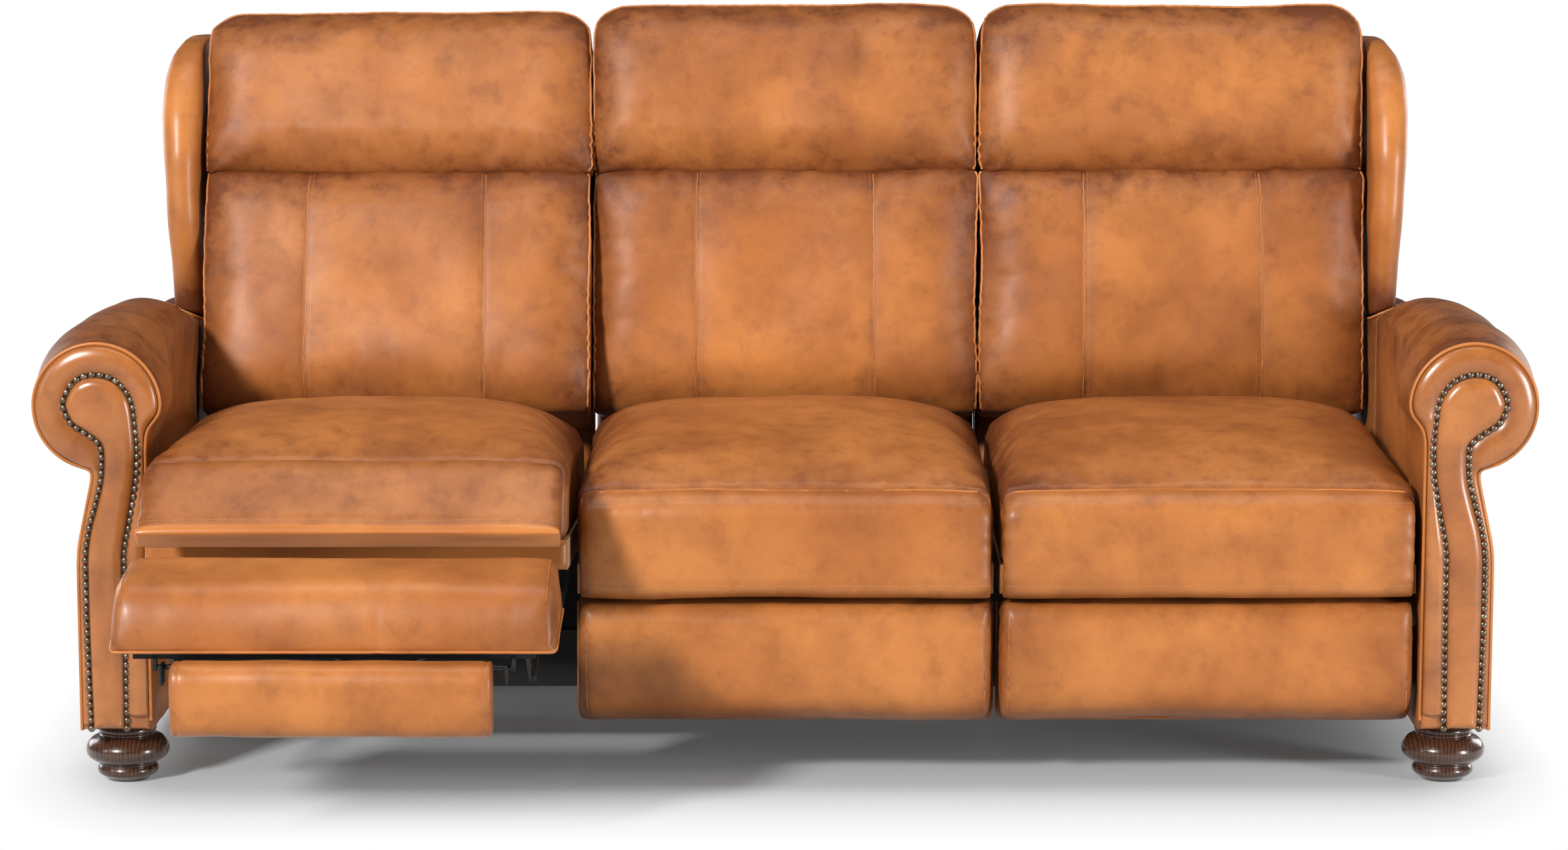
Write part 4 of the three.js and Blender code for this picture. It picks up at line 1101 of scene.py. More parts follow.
def build_brackets(seat):
    """The steel brackets that a back turns on, with their pins."""
    body, move = carrier("back", seat), back_move(seat)
    low, high = drawn_box(f"back_frame_{seat}", move)
    pivot = Vector(joints["back_recline_right"]["pos_m"])
    line = smooth_line([(pivot.y + y * MM, pivot.z + z * MM) for y, z in BRACKET_OUTLINE_MM], 44, closed=True)
    for name, side in SIDES.items():
        x = (low[0] + high[0]) / 2 + side * bpy.context.scene.sofa_soft.bracket_reach
        rings = [np.stack([np.full(44, x + t * side), line[:, 0], line[:, 1]], axis=-1)
                 for t in (-2.5 * MM, 2.5 * MM)]
        bracket = lofted(f"back_bracket_{seat}_{name}", rings)
        bracket.data.transform(move)
        finish_piece(bracket, body, "steel")
        bracket.data.polygons.foreach_set("use_smooth", [False] * len(bracket.data.polygons))
        pin = [[(x - 4 * MM * side, pivot.y, pivot.z), (x + 13 * MM * side, pivot.y, pivot.z)]]
        piping(f"back_pin_{seat}_{name}", pin, 7.9 * MM, body, move, "steel")


# Arms


NAIL_ROUTE_SHARES = np.array([
    (0.834, 0.012), (0.845, 0.1), (0.86, 0.25), (0.864, 0.4), (0.855, 0.462), (0.804, 0.522),
    (0.704, 0.589), (0.628, 0.647), (0.609, 0.704), (0.637, 0.74), (0.815, 0.767), (1.003, 0.791),
    (1.104, 0.83), (1.097, 0.856), (0.976, 0.896), (0.793, 0.914), (0.585, 0.915), (0.389, 0.9),
    (0.238, 0.868), (0.171, 0.831), (0.138, 0.772), (0.126, 0.72), (0.145, 0.653), (0.227, 0.564),
    (0.3, 0.496), (0.328, 0.462), (0.33, 0.43), (0.335, 0.25), (0.35, 0.012),
])
# Depths behind the arm's front where its roll changes: what is left of its reach, rise and overhang
ROLL_DEPTHS = (0, 0.03, 0.07, 0.13, 0.235, 0.33, 0.5, 0.62, 0.935)
ROLL_REACH_SHARES = (1, 1, 1.08, 1.15, 1.16, 1.14, 1.0, 0.6, 0.45)
ROLL_RISE_SHARES = (1, 1, 1.08, 1.14, 1.15, 1.13, 1.04, 0.68, 0.45)
ROLL_OVERHANG_SHARES = (1, 1, 1, 1, 0.3, 0.02, 0.02, 0.02, 0.02)


OVERHANG_TOP = 0.562
OVERHANG_FOOT = 0.534


def arm_sizes():
    """The right arm's driving sizes, from its box and the named ones. The low corner lies on the
    upright inner side, below the roll's overhang."""
    low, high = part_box("arm_body_right")
    return Vector((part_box("front_rail")[1].x + 0.3 * MM, low.y, low.z)), high, bpy.context.scene.sofa_arms


def mirrored(points, side):
    """The right arm's points on the given side of the sofa."""
    return points * np.array([SIDES[side], 1, 1])


def arm_ring(inset):
    """The arm's outline in the front view, counted up the outside, over the roll and down inside."""
    low, _, sizes = arm_sizes()
    inner, outer = low.x + inset, low.x + sizes.width - inset
    bottom = low.z + inset
    roll_x, roll_z = roll_centre()
    radius = sizes.roll_radius - inset
    neck_x = low.x + sizes.neck_width - inset
    turn = np.linspace(-math.acos((neck_x - roll_x) / radius), math.pi, 56)
    roll = np.stack([roll_x + radius * np.cos(turn), roll_z + radius * np.sin(turn)], axis=-1)
    shoulder = (outer, sizes.shoulder_height)
    overhang = (roll_x - radius, OVERHANG_TOP + inset)
    overhang_foot = (inner, OVERHANG_FOOT + inset)
    sides = [
        ((inner, bottom), (outer, bottom), 8),
        ((outer, bottom), shoulder, 16),
        (shoulder, roll[0], 12),
        (overhang, overhang_foot, 5),
        (overhang_foot, (inner, bottom), 30),
    ]
    parts = [np.linspace(first, last, count, endpoint=False) for first, last, count in sides]
    return np.concatenate([*parts[:3], roll, *parts[3:]])


def softened(ring, keep):
    """Rounds the corners of an outline a little; keep says where it stays put."""
    for _ in range(3):
        average = (np.roll(ring, 1, axis=0) + np.roll(ring, -1, axis=0)) / 2
        ring = ring + 0.5 * (average - ring) * (1 - keep)[:, None]
    return ring


def ring_at(ring, y):
    return np.stack([ring[:, 0], np.full(len(ring), y), ring[:, 1]], axis=-1)


def roll_centre():
    _, high, sizes = arm_sizes()
    return high.x - sizes.roll_radius, high.z - sizes.roll_radius


def arm_ring_at(inset, y):
    """The arm's soft outline at a place along it; the roll gets smaller towards the rear."""
    low, _, sizes = arm_sizes()
    ring = arm_ring(inset)
    ring = softened(ring, (ring[:, 1] < low.z + inset + 1 * MM).astype(float))
    depth = y - low.y + sizes.facing_thickness
    roll_x, roll_z = roll_centre()
    inner = low.x + inset
    x, z = ring.T
    over = inner + (x - inner) * np.interp(depth, ROLL_DEPTHS, ROLL_OVERHANG_SHARES)
    on_roll = smooth_step(z, sizes.shoulder_height + 0.03, roll_z)
    wider = np.interp(depth, ROLL_DEPTHS, ROLL_REACH_SHARES) - 1
    rise = roll_z + (z - roll_z) * np.interp(depth, ROLL_DEPTHS, ROLL_RISE_SHARES)
    new_x = np.where(x < inner, over, np.where(x > roll_x, x + (x - roll_x) * wider * on_roll, x))
    return ring_at(np.stack([new_x, np.where(z > roll_z, rise, z)], axis=-1), y)


# Where the roll starts and ends among the points of an arm's outline, and the seam under it
ROLL_START, ROLL_END, UNDERSEAM = 28, 114, 35


def build_arm(side):
    low, high, sizes = arm_sizes()
    edge = sizes.front_round
    spots = [(low.y + edge * t, t) for t in np.linspace(0, 1, 9)]
    spots += [(y, 1) for y in np.linspace(low.y + edge, high.y - edge, 60)[1:]]
    spots += [(high.y - edge * t, t) for t in np.linspace(1, 0, 7)[1:]]
    rings = [arm_ring_at(sizes.facing_inset * (1 - math.sqrt(1 - (1 - t) ** 2)), y) for y, t in spots]
    piece = lofted(f"arm_leather_{side}", rings, side)
    points = places(piece)
    number = 300 + SIDES[side]
    y = points[:, 1]
    seam_y = low.y + sizes.seam_setback
    around = np.tile(np.arange(len(rings[0])) / len(rings[0]), len(rings))
    seam = 1.6 * MM * ridge(y - seam_y, 0.006) * smooth_step(around, 0.26, 0.34)
    lumps = 1.2 * MM * uneven(points, 0.2, number) + 0.4 * MM * uneven(points, 0.06, number + 1)
    inside = smooth_step(y, low.y, low.y + 0.04) * smooth_step(-y, -high.y, 0.03 - high.y)
    points = raised(piece, points, inside * (lumps - 1.2 * MM) - seam)
    points[:, 2] = np.maximum(points[:, 2], low.z)
    move_to(piece, points)
    _, y, z = points.T
    # Darker at the front edge, by the seam, towards the rear, low down and on the roll's top: burnish and
    # painted shade.
    burnish_and_shade = 0.5 * fade(y - low.y, 0.03) + 0.5 * fade(np.abs(y - seam_y), 0.03)
    burnish_and_shade += 0.45 * smooth_step(y, seam_y - 0.06, seam_y + 0.12)
    burnish_and_shade += 0.3 * smooth_step(-z, -0.2, -0.1) + 0.8 * smooth_step(z, 0.5, 0.64)
    hide(piece, burnish_and_shade, np.where(y > seam_y, 5.0, 2.0) + SIDES[side], 0.1)
    finish_piece(piece, "base", "leather", [f"arm_body_{side}"])
    roll = arm_ring_at(-0.3 * MM, seam_y)[ROLL_START:ROLL_END]
    rows = [smooth_line(mirrored(roll + np.array([0, shift, 0]), side), 260)
            for shift in (-STITCH_SETBACK, STITCH_SETBACK)]
    stitching(f"arm_stitches_{side}", rows, "base")
    under = [arm_ring_at(0.4 * MM, y)[UNDERSEAM] for y in np.linspace(low.y + 0.012, high.y - 0.02, 40)]
    piping(f"arm_underseam_{side}", [mirrored(np.array(under), side)], 2.4 * MM, "base")


def nail_line(count):
    """The route of the nails on the right arm, in the front view."""
    low, high, sizes = arm_sizes()
    corner, extent = np.array([low.x, low.z]), np.array([sizes.width, high.z - low.z])
    return smooth_line(corner + NAIL_ROUTE_SHARES * extent, count)


def evened(values, passes):
    """Averages values with their neighbours, time and again; the first and last stay put."""
    for _ in range(passes):
        values[1:-1] = (values[:-2] + values[1:-1] * 2 + values[2:]) / 4
    return values


def build_facing(side):
    """The padded facing of an arm with its welt. Its rings go back from the face to the roll."""
    low, _, sizes = arm_sizes()
    inset = sizes.facing_inset
    steps = [(0.0, -0.3), (0.0, -6), (0.8, -9), (2.6, -11), (5.5, -12)]
    rings = [arm_ring_at(inset + more * MM, low.y) + np.array([0, y * MM, 0]) for more, y in steps]
    piece = lofted(f"arm_facing_leather_{side}", rings[::-1], side)
    hide(piece, 0.12, 61 + SIDES[side])
    finish_piece(piece, "base", "facing leather", [f"arm_facing_{side}"])
    ring = arm_ring_at(inset - 1.5 * MM, low.y)[8:]
    welt = smooth_line(mirrored(ring + np.array([0, -9 * MM, 0]), side), 420)
    piping(f"arm_welt_{side}", [welt], sizes.welt_radius, "base")


def build_facing_pad(side):
    """The stuffing that swells between an arm's welt and its nails."""
    low, _, sizes = arm_sizes()
    face_y = low.y - sizes.facing_thickness
    route = nail_line(240)
    edge = smooth_line(arm_ring_at(sizes.facing_inset + 1 * MM, low.y)[8:, [0, 2]], 400)
    nearest = [np.argmin(np.linalg.norm(route - point, axis=1)) for point in edge]
    nearest = evened(np.maximum.accumulate(nearest).astype(float), 40)
    matched = np.stack([np.interp(nearest, np.arange(240), route[:, i]) for i in (0, 1)], axis=-1)
    across = np.linspace(0, 1, 11)
    swollen = np.sin(math.pi * across) ** 0.75
    rings = []
    for start, end in zip(edge, matched):
        line = start + (end - start) * across[:, None]
        puff = min(sizes.facing_puff, 0.3 * np.linalg.norm(end - start))
        front = np.stack([line[:, 0], face_y + 1 * MM - puff * swollen, line[:, 1]], axis=-1)
        behind = front[[-2, 1]]
        behind[:, 1] = face_y + 4 * MM
        rings.append(np.concatenate([front, behind]))
    rings = rings[2:-2]
    piece = lofted(f"arm_facing_pad_{side}", rings, side)
    # Darker towards the nails, where the stuffing dips into the valley: painted shade.
    dark = 0.3 * np.concatenate([across, [0, 0]]) ** 3
    hide(piece, 0.15 + np.tile(dark, len(rings)), 62 + SIDES[side])
    finish_piece(piece, "base", "facing leather")


def build_arm_panel(side):
    """The raised panel inside an arm's nails."""
    low, _, sizes = arm_sizes()
    face_y = low.y - sizes.facing_thickness
    inner = beside(nail_line(240), sizes.nail_diameter / 2 - 1.5 * MM)
    closed = np.concatenate([inner, np.linspace(inner[-1], inner[0], 12)[1:-1]])
    along = np.roll(closed, -1, axis=0) - np.roll(closed, 1, axis=0)
    along /= np.linalg.norm(along, axis=1, keepdims=True)
    inward = np.stack([-along[:, 1], along[:, 0]], axis=-1)
    for _ in range(30):
        inward = (np.roll(inward, 1, axis=0) + inward * 2 + np.roll(inward, -1, axis=0)) / 4
    rings = [ring_at(closed, face_y + 1 * MM)]
    for angle in np.linspace(0, math.pi / 2, 9):
        shift = sizes.panel_round * (1 - math.cos(angle))
        rings.append(ring_at(closed + inward * shift, face_y - sizes.panel_rise * math.sin(angle)))
    piece = lofted(f"arm_panel_leather_{side}", rings, side)
    hide(piece, 0.1, 64 + SIDES[side])
    finish_piece(piece, "base", "facing leather")


def build_nails():
    """Dome-head nails along both arms' routes."""
    low, _, sizes = arm_sizes()
    radius = sizes.nail_diameter / 2
    turn = np.arange(12) / 12 * 2 * math.pi
    rings = []
    for step in range(6):
        angle = math.pi / 2 * step / 5 * 0.93
        spread_out = radius * math.cos(angle)
        height = np.full(12, -0.72 * radius * math.sin(angle))
        rings.append(np.stack([spread_out * np.cos(turn), height, spread_out * np.sin(turn)], axis=-1))
    rings.insert(0, rings[0] + np.array([0, 1.5 * MM, 0]))
    dome = lofted("nail_dome", rings)
    tree = nail_tree(dome)
    face_y = low.y - sizes.facing_thickness
    for side in SIDES:
        route = mirrored(ring_at(nail_line(400), face_y - 0.5 * MM), side)
        nails = along_lines(f"nails_{side}", [route], tree, finishes["nail metal"], pitch=sizes.nail_pitch)
        finish_piece(nails, "base", "nail metal", [f"nail_trim_{side}"])
    bpy.data.objects.remove(dome)


# Wings


WING_LEVELS = (0, 0.2, 0.4, 0.6, 0.75, 0.87, 0.95, 1)
WING_OUTER_SHARES = (0.75, 0.78, 0.84, 0.95, 1, 0.96, 0.82, 0.5)
WING_FRONT_SHARES = (0.1, 0.05, 0, 0.02, 0.09, 0.19, 0.31, 0.46)
WING_REAR_SHARES = (1, 1, 1, 1, 1, 0.98, 0.94, 0.86)


def roll_top(spots, above):
    """How high the roll's upper side lies at places in plan, and a little above it."""
    low, _, sizes = arm_sizes()
    roll_x, roll_z = roll_centre()
    depth = spots[:, 1] - low.y + sizes.facing_thickness
    away = spots[:, 0] - roll_x
    away = np.where(away > 0, away / np.interp(depth, ROLL_DEPTHS, ROLL_REACH_SHARES), away)
    rise = np.sqrt(np.maximum(0, (sizes.roll_radius + above) ** 2 - away ** 2))
    return roll_z + rise * np.interp(depth, ROLL_DEPTHS, ROLL_RISE_SHARES)


# The ring of a wing that its welt follows, and how many of its points lie on the nose and outer side
WELT_RING, WELT_POINTS = 10, 34


def build_wing(side):
    _, high, _ = arm_sizes()
    wing_low, wing_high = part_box("wing_right")
    width, depth = wing_high.x - wing_low.x, wing_high.y - wing_low.y
    base = high.z - 64 * MM
    nose = math.pi + math.pi * np.linspace(0, 1, 25)
    rings = []
    for level in np.linspace(0, 1, 44) ** 0.8:
        across = width * np.interp(level, WING_LEVELS, WING_OUTER_SHARES)
        front = wing_low.y + depth * np.interp(level, WING_LEVELS, WING_FRONT_SHARES)
        rear = wing_low.y + depth * np.interp(level, WING_LEVELS, WING_REAR_SHARES)
        x = wing_low.x + across / 2 * (1 + np.cos(nose))
        ring = np.stack([x, front + across / 2 * (1 + np.sin(nose))], axis=-1)
        outer = np.linspace(ring[-1], (wing_low.x + across, rear - 12 * MM), 12)[1:]
        rear_side = np.linspace((wing_low.x + across - 12 * MM, rear), (wing_low.x + 6 * MM, rear), 6)
        inner = np.linspace((wing_low.x, rear - 6 * MM), ring[0], 12)[:-1]
        ring = np.concatenate([ring, outer, rear_side, inner])
        height = np.maximum(base + (wing_high.z - base) * level, roll_top(ring, 0.5 * MM))
        rings.append(np.stack([ring[:, 0], ring[:, 1], height], axis=-1))
    piece = lofted(f"wing_leather_{side}", rings, side)
    smoothing = piece.modifiers.new("smooth", "SMOOTH")
    smoothing.factor = 0.5
    smoothing.iterations = 6
    settled(piece)
    points = places(piece)
    rising = smooth_step(points[:, 2], high.z, high.z + 0.06)
    points = raised(piece, points, rising * 1.4 * MM * uneven(points, 0.12, 320 + SIDES[side]))
    # Darker at its base on the roll and towards its top: burnish and painted shade.
    burnish_and_shade = 0.6 * fade(points[:, 2] - high.z, 0.03) + 0.3 * smooth_step(points[:, 2], 0.95, 1.07)
    hide(piece, burnish_and_shade, 71 + SIDES[side], 0.1)
    finish_piece(piece, "base", "leather", [f"wing_{side}"])
    welt = rings[WELT_RING]
    welt[:, 2] = roll_top(welt, 2 * MM)
    piping(f"wing_welt_{side}", [smooth_line(mirrored(welt[:WELT_POINTS], side), 120)], WELT, "base")


# Feet


FOOT_PROFILE_SHARES = (
    (0.5, 0.0), (0.56, 0.05), (0.7, 0.12), (0.735, 0.2), (0.69, 0.27), (0.67, 0.3),
    (0.83, 0.36), (0.96, 0.44), (1.0, 0.53), (0.98, 0.63), (0.88, 0.73), (0.74, 0.79), (0.66, 0.82),
    (0.67, 0.85), (0.7, 0.89), (0.69, 0.94), (0.64, 1.0),
)


def build_foot(node):
    low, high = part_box(node)
    centre = (low + high) / 2
    radius, rise = (high.x - low.x) / 2, high.z - low.z
    turn = np.arange(56) / 56 * 2 * math.pi
    circle = np.stack([np.cos(turn), np.sin(turn)], axis=-1)
    rings = []
    for share, up in smooth_line(FOOT_PROFILE_SHARES, 64):
        ring = np.array(centre.xy) + min(share, 1) * radius * circle
        rings.append(np.column_stack([ring, np.full(56, low.z + max(up, 0) * rise)]))
    piece = lofted(node + "_turned", rings)
    finish_piece(piece, "base", "walnut", [node])
    for rim in (-1, -2):
        piece.data.polygons[rim].use_smooth = False


# The cable under the open footrest


CABLE_ROUTE_MM = (
    (-36, 0), (-36, 7), (-31, 15.5), (-17, 24), (5, 31), (28, 35.5), (52, 37),
    (76, 35.5), (99, 31), (121, 24), (135, 15.5), (140, 7), (140, 0),
)


def build_cable():
    """The cable that sags under the open footrest, between two places on its board."""
    body, move, low, high = seated("footrest", "footrest_cable", "left")
    board_low, board_high = drawn_box("footrest_board_left", move)
    seat_x = (board_low[0] + board_high[0]) / 2
    diameter = high[2] - low[2]
    z = (low[2] + high[2]) / 2
    line = smooth_line([move @ Vector((seat_x + x * MM, low[1] + y * MM, z)) for x, y in CABLE_ROUTE_MM], 90)
    curve = drawn_curve("footrest_cable", [line])
    curve.bevel_depth = diameter / 2
    curve.bevel_resolution = 3
    curve.use_fill_caps = True
    curve.materials.append(finishes["cable"])
    cable = added("footrest_cable", curve)
    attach(cable, body)
    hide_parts("footrest_cable_left")


# What a user would change


def length_setting(name, description, default):
    return FloatProperty(name=name, description=description, unit="LENGTH", default=default)


def share_setting(name, description, default):
    return FloatProperty(name=name, description=description, subtype="FACTOR", default=default, min=0, max=1)


def dye_setting(name, description, default):
    return FloatVectorProperty(name=name, description=description, subtype="COLOR", default=default,
                               min=0, max=1)


class LeatherLooks(bpy.types.PropertyGroup):
    light: dye_setting("Light dye", "Worn, light patches of the leather", (0.56, 0.203, 0.05))
    middle: dye_setting("Middle dye", "Most of the leather", (0.42, 0.134, 0.029))
    # The dark dye is also the colour of the painted shade on edges and in creases.
    dark: dye_setting("Dark dye", "Burnished clouds, edges and creases", (0.14, 0.036, 0.008))
    roughness: share_setting("Roughness", "Of the leather's own surface", 0.41)
    polish: share_setting("Polish", "Weight of the wax over the dye", 0.12)


class TrimSizes(bpy.types.PropertyGroup):
    stitch_pitch: length_setting("Stitch pitch", "From one stitch to the next", 4.6 * MM)
    stitch_length: length_setting("Stitch length", "What shows of a stitch", 3.2 * MM)
    thread_thickness: length_setting("Thread", "Thickness of the thread", 1.0 * MM)


class SoftSizes(bpy.types.PropertyGroup):
    seam_spacing: length_setting("Seam spacing", "Between the two upright seams of a back", 0.282)
    flipper_width: length_setting("Flipper width", "Of the narrow pad below the footrest", 0.443)
    flipper_thickness: length_setting("Flipper thickness", "Of the narrow pad below the footrest", 0.057)
    back_swell: length_setting("Back swell", "How far the backs' stuffing swells sideways", 5 * MM)
    crease_overlap: length_setting(
        "Crease overlap", "How far headrest and lumbar cushion press into each other", 5 * MM)
    bracket_drop: length_setting(
        "Bracket drop", "From the lower edge of a back to the foot of its brackets", 0.038)
    bracket_reach: length_setting(
        "Bracket reach", "From the middle of a seat to a bracket of its back", 0.262)


class ArmSizes(bpy.types.PropertyGroup):
    width: length_setting("Arm width", "Of the upright part of an arm", 0.109)
    neck_width: length_setting("Neck width", "Where the roll springs from the upright part", 0.082)
    shoulder_height: length_setting("Shoulder height", "Where the outer side turns in to the neck", 0.358)
    roll_radius: length_setting("Roll radius", "Of the arm's roll", 0.097)
    facing_inset: length_setting("Facing inset", "From the roll's edge in to the facing", 5 * MM)
    facing_puff: length_setting("Facing puff", "How far the facing swells inside its welt", 8 * MM)
    facing_thickness: length_setting("Facing thickness", "Of the padded front facing", 14 * MM)
    front_round: length_setting("Front round", "Depth of the roll's rounded front edge", 18 * MM)
    seam_setback: length_setting("Seam setback", "From the arm's front to the seam over its roll", 0.53)
    welt_radius: length_setting("Welt radius", "Of the welt round the facing", 2.8 * MM)
    panel_rise: length_setting("Panel rise", "How far the centre panel stands proud", 11 * MM)
    panel_round: length_setting("Panel round", "Width of the centre panel's rounded edge", 18 * MM)
    nail_diameter: length_setting("Nail diameter", "Of a dome-head nail", 11 * MM)
    nail_pitch: length_setting("Nail pitch", "From one nail to the next", 12 * MM)


class StageLooks(bpy.types.PropertyGroup):
    lens: FloatProperty(name="Lens", description="Focal length of the camera in millimetres", default=102.08)
    camera_height: length_setting("Camera height", "Above the floor", 1.57)
    camera_distance: length_setting("Camera distance", "From the arms' front", 6.45)
    camera_pitch: FloatProperty(name="Camera pitch", description="How far the camera looks down",
                                subtype="ANGLE", default=math.radians(9))


# Operators


# Each hard finish: its name, its shade, the shade where it is rubbed, roughness, metallic and scale
HARD_FINISHES = {
    "thread": ("tan thread", (0.5, 0.24, 0.1), (0.62, 0.34, 0.17), 0.6, 0.0, 300.0),
    "nail metal": ("antique nail metal", (0.15, 0.115, 0.085), (0.34, 0.27, 0.2), 0.34, 0.85, 90.0),
    "steel": ("black steel", (0.008, 0.008, 0.009), (0.03, 0.03, 0.032), 0.42, 0.3, 40.0),
    "black paint": ("black board", (0.005, 0.005, 0.005), (0.012, 0.011, 0.01), 0.75, 0.0, 25.0),
    "plastic": ("black plastic", (0.012, 0.012, 0.013), (0.02, 0.02, 0.021), 0.45, 0.0, 120.0),
    "cable": ("cable sheath", (0.02, 0.02, 0.021), (0.035, 0.035, 0.036), 0.5, 0.0, 150.0),
}
# Each wood: its name, its pale and dark shade, roughness, coat and the axis of its grain
WOODS = {
    "walnut": ("dark walnut", (0.085, 0.034, 0.016), (0.032, 0.012, 0.007), 0.28, 0.6, 2),
    "timber": ("plain timber", (0.52, 0.33, 0.17), (0.36, 0.2, 0.09), 0.7, 0.0, 0),
}
# The finish of the CAD nodes that stay, by their material slot
NODE_FINISHES = {"steel": "steel", "timber": "timber", "board": "black paint",
                 "black_paint": "black paint", "plastic": "plastic"}


class SOFA_OT_finishes(bpy.types.Operator):
    """Mixes the leather, thread, metal, wood and plastic, and dresses the nodes that stay"""

    bl_idname = "sofa.finishes"
    bl_label = "Finishes"

    def execute(self, context):
        looks = context.scene.sofa_leather
        finishes["leather"] = leather_material("burnished leather", looks)
        finishes["back leather"] = leather_material("back leather", looks, 0.03, -looks.polish)
        finishes["facing leather"] = leather_material("facing leather", looks, 0.14, 0.5)
        finishes["welt leather"] = leather_material("welt leather", looks, -0.1)
        for name, row in HARD_FINISHES.items():
            finishes[name] = plain_material(*row)
        for name, row in WOODS.items():
            finishes[name] = wood_material(*row)
        for row in frame["record"]["subparts"]:
            finish = NODE_FINISHES.get(row["material_slot"])
            if finish:
                node = frame["nodes"][row["node"]]
                node.data.materials.clear()
                node.data.materials.append(finishes[finish])
        trees["piping"] = piping_tree()
        trees["stitches"] = stitch_tree()
        return {"FINISHED"}


class SOFA_OT_seats(bpy.types.Operator):
    """Crowned seat cushions and the stitched boxings in front of them"""

    bl_idname = "sofa.seats"
    bl_label = "Seats"

    def execute(self, context):
        for number, seat in enumerate(SEATS):
            build_seat_cushion(seat, number)
            build_board_wrap(seat, number)
            build_boxing(seat, number)
        return {"FINISHED"}


class SOFA_OT_footrests(bpy.types.Operator):
    """Footrest pads with their welts, and the flippers below them"""

    bl_idname = "sofa.footrests"
    bl_label = "Footrests"

    def execute(self, context):
        for number, seat in enumerate(SEATS):
            build_footrest_pad(seat, number)
            if seat != "center":
                build_flipper(seat, number)
        build_cable()
        return {"FINISHED"}


class SOFA_OT_backs(bpy.types.Operator):
    """Lumbar cushions, headrests and padded outside backs"""

    bl_idname = "sofa.backs"
    bl_label = "Backs"

    def execute(self, context):
        for number, seat in enumerate(SEATS):
            build_lumbar(seat, number)
            build_headrest(seat, number)
            build_outside_back(seat, number)
            build_brackets(seat)
        return {"FINISHED"}


class SOFA_OT_arms(bpy.types.Operator):
    """Rolled arms with their welted facings, raised panels and nails"""

    bl_idname = "sofa.arms"
    bl_label = "Arms"

    def execute(self, context):
        for side in SIDES:
            build_arm(side)
            build_facing(side)
            build_facing_pad(side)
            build_arm_panel(side)
        build_nails()
        return {"FINISHED"}


class SOFA_OT_wings(bpy.types.Operator):
    """Wings that stand on the arms beside the outer backs"""

    bl_idname = "sofa.wings"
    bl_label = "Wings"

    def execute(self, context):
        for side in SIDES:
            build_wing(side)
        return {"FINISHED"}


class SOFA_OT_feet(bpy.types.Operator):
    """Turned walnut feet"""

    bl_idname = "sofa.feet"
    bl_label = "Feet"

    def execute(self, context):
        for side in SIDES:
            build_foot(f"front_foot_{side}")
            build_foot(f"rear_foot_{side}")
        return {"FINISHED"}


# The stage


# Each lamp: its name, place and target, width and height, power in watts and tint
LAMPS = (
    ("key lamp", (-4.9, -7.6, 5.5), (0, 0, 0.45), 1.3, 1.3, 1080, (1.0, 0.97, 0.94)),
    ("rear right lamp", (3.6, 2.6, 1.5), (1.0, 0, 0.6), 1.6, 2.0, 55, (1.0, 1.0, 1.0)),
    ("rear left lamp", (-3.6, 2.6, 1.5), (-1.0, 0, 0.6), 1.6, 2.0, 40, (1.0, 1.0, 1.0)),
    ("right lamp", (4.3, -2.8, 1.0), (0.9, -0.3, 0.3), 0.8, 1.6, 150, (0.97, 0.98, 1.0)),
    ("left lamp", (-4.5, -2.2, 1.7), (-0.3, 0, 0.5), 0.8, 1.8, 18, (0.97, 0.98, 1.0)),
    ("top lamp", (0, -0.3, 4.4), (0, 0.2, 0.4), 4.0, 1.6, 60, (1.0, 1.0, 1.0)),
)
FLOOR_REACH = 30.0
WHITE = (1.0, 1.0, 1.0, 1.0)


def add_lamp(name, place, target, width, height, power, tint):
    light = bpy.data.lights.new(name, "AREA")
    light.shape = "RECTANGLE"
    light.size = width
    light.size_y = height
    light.energy = power
    light.color = tint
    lamp = added(name, light)
    lamp.location = place
    lamp.rotation_euler = (Vector(target) - Vector(place)).to_track_quat("-Z", "Y").to_euler()


def floor_material():
    """Pale and matt round the sofa, where it takes the shadow, and white further out; a faint white glow
    close in lightens the shadow under the sofa as painted light.
    """
    recipe = Recipe("pale floor")
    spot = recipe.vector("ABSOLUTE", recipe.place(shift=(0, -0.2, 0)))
    outside = recipe.vector("MAXIMUM", recipe.vector("SUBTRACT", spot, (0.9, 0.3, 0)), (0, 0, 0))
    away = recipe.vector("LENGTH", recipe.vector("MULTIPLY", outside, (1.7, 1, 1)), output=1)
    # The white glow rises from 5% under the sofa with distance: painted light that lightens the shadow close
    # in, and the white floor further out.
    white_glow_share = recipe.ramp(away, (0.0, 0.05), (0.15, 0.16), (0.34, 0.78), (0.47, 1.0))
    seen = recipe.node("ShaderNodeLightPath", output="Is Camera Ray")
    matt = recipe.node("ShaderNodeBsdfDiffuse", {"Color": colour((0.48, 0.51, 0.53))})
    white = recipe.node("ShaderNodeEmission", {"Color": WHITE, "Strength": 1.0})
    share = white_glow_share * (seen + seen.other("Is Glossy Ray"))
    shown = recipe.node("ShaderNodeMixShader", {0: share, 1: matt, 2: white})
    recipe.node("ShaderNodeOutputMaterial", {"Surface": shown})
    return recipe.material


def light_world(world):
    """A white background for the camera, and an even, weak light for the rest."""
    world.use_nodes = True
    sky = Graph(world.node_tree)
    ambient = sky.node("ShaderNodeBackground", {"Color": WHITE, "Strength": 0.11})
    white = sky.node("ShaderNodeBackground", {"Color": WHITE, "Strength": 1.0})
    seen = sky.node("ShaderNodeLightPath", output="Is Camera Ray")
    shown = sky.node("ShaderNodeMixShader", {0: seen, 1: ambient, 2: white})
    sky.node("ShaderNodeOutputWorld", {"Surface": shown})


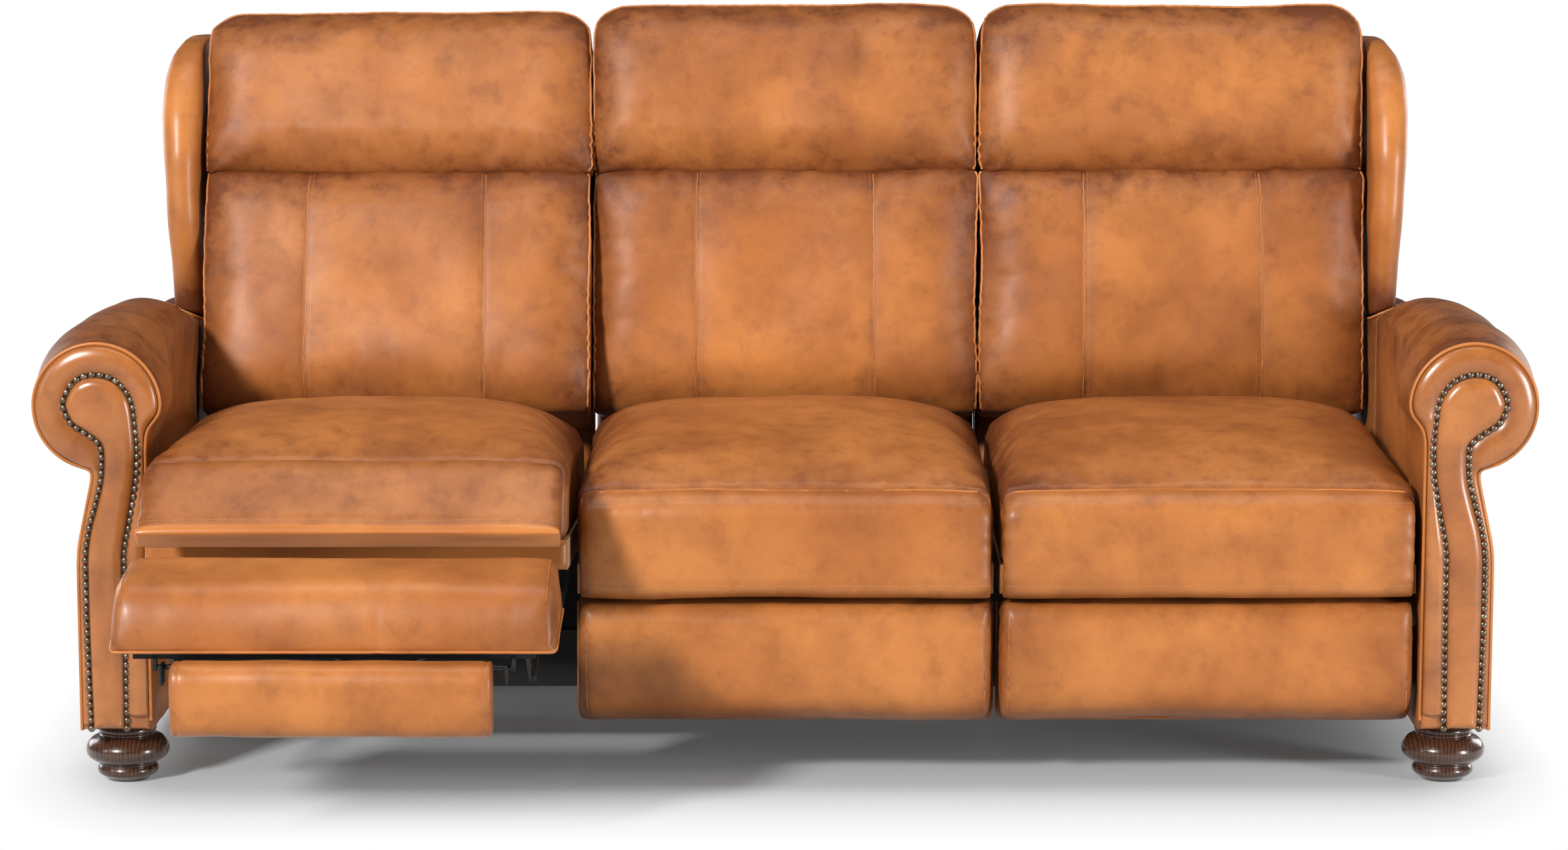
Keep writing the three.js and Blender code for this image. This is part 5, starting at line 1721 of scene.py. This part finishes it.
class SOFA_OT_stage(bpy.types.Operator):
    """Pale floor, soft studio lamps, white background and the camera"""

    bl_idname = "sofa.stage"
    bl_label = "Stage"

    def execute(self, context):
        scene = context.scene
        looks = scene.sofa_stage
        corners = [(x * FLOOR_REACH, y * FLOOR_REACH, 0) for x, y in ((-1, -1), (1, -1), (1, 1), (-1, 1))]
        floor = new_piece("floor", corners, [(0, 1, 2, 3)])
        floor.data.materials.append(floor_material())
        for lamp in LAMPS:
            add_lamp(*lamp)
        scene.world = bpy.data.worlds.new("studio")
        light_world(scene.world)
        camera = added("camera", bpy.data.cameras.new("camera"))
        camera.data.lens = looks.lens
        camera.data.sensor_width = 36
        camera.data.clip_end = 100
        front_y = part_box("arm_facing_right")[0].y + 7 * MM
        camera.location = (-2 * MM, front_y - looks.camera_distance, looks.camera_height)
        camera.rotation_euler = (math.pi / 2 - looks.camera_pitch, 0, 0)
        scene.camera = camera
        scene.view_settings.view_transform = "Standard"
        return {"FINISHED"}


class SOFA_PT_panel(bpy.types.Panel):
    """Lists the sofa's pieces and sizes"""

    bl_idname = "SOFA_PT_panel"
    bl_label = "Reclining sofa"
    bl_space_type = "VIEW_3D"
    bl_region_type = "UI"
    bl_category = "Sofa"

    def draw(self, context):
        for step in STEPS:
            self.layout.operator(step)
        for group in GROUPS:
            box = self.layout.box()
            settings = getattr(context.scene, group)
            for name in settings.__annotations__:
                box.prop(settings, name)


STEPS = ("sofa.finishes", "sofa.seats", "sofa.footrests", "sofa.backs", "sofa.arms", "sofa.wings",
         "sofa.feet", "sofa.stage")
GROUPS = {"sofa_leather": LeatherLooks, "sofa_trim": TrimSizes, "sofa_soft": SoftSizes,
          "sofa_arms": ArmSizes, "sofa_stage": StageLooks}
CLASSES = (LeatherLooks, TrimSizes, SoftSizes, ArmSizes, StageLooks, SOFA_OT_finishes, SOFA_OT_seats,
           SOFA_OT_footrests, SOFA_OT_backs, SOFA_OT_arms, SOFA_OT_wings, SOFA_OT_feet, SOFA_OT_stage,
           SOFA_PT_panel)


def register():
    for item in CLASSES:
        bpy.utils.register_class(item)
    for name, group in GROUPS.items():
        setattr(bpy.types.Scene, name, PointerProperty(type=group))


def unregister():
    for name in GROUPS:
        delattr(bpy.types.Scene, name)
    for item in reversed(CLASSES):
        bpy.utils.unregister_class(item)


def main():
    register()
    for step in STEPS:
        group, name = step.split(".")
        getattr(getattr(bpy.ops, group), name)()


if __name__ == "__main__":
    main()
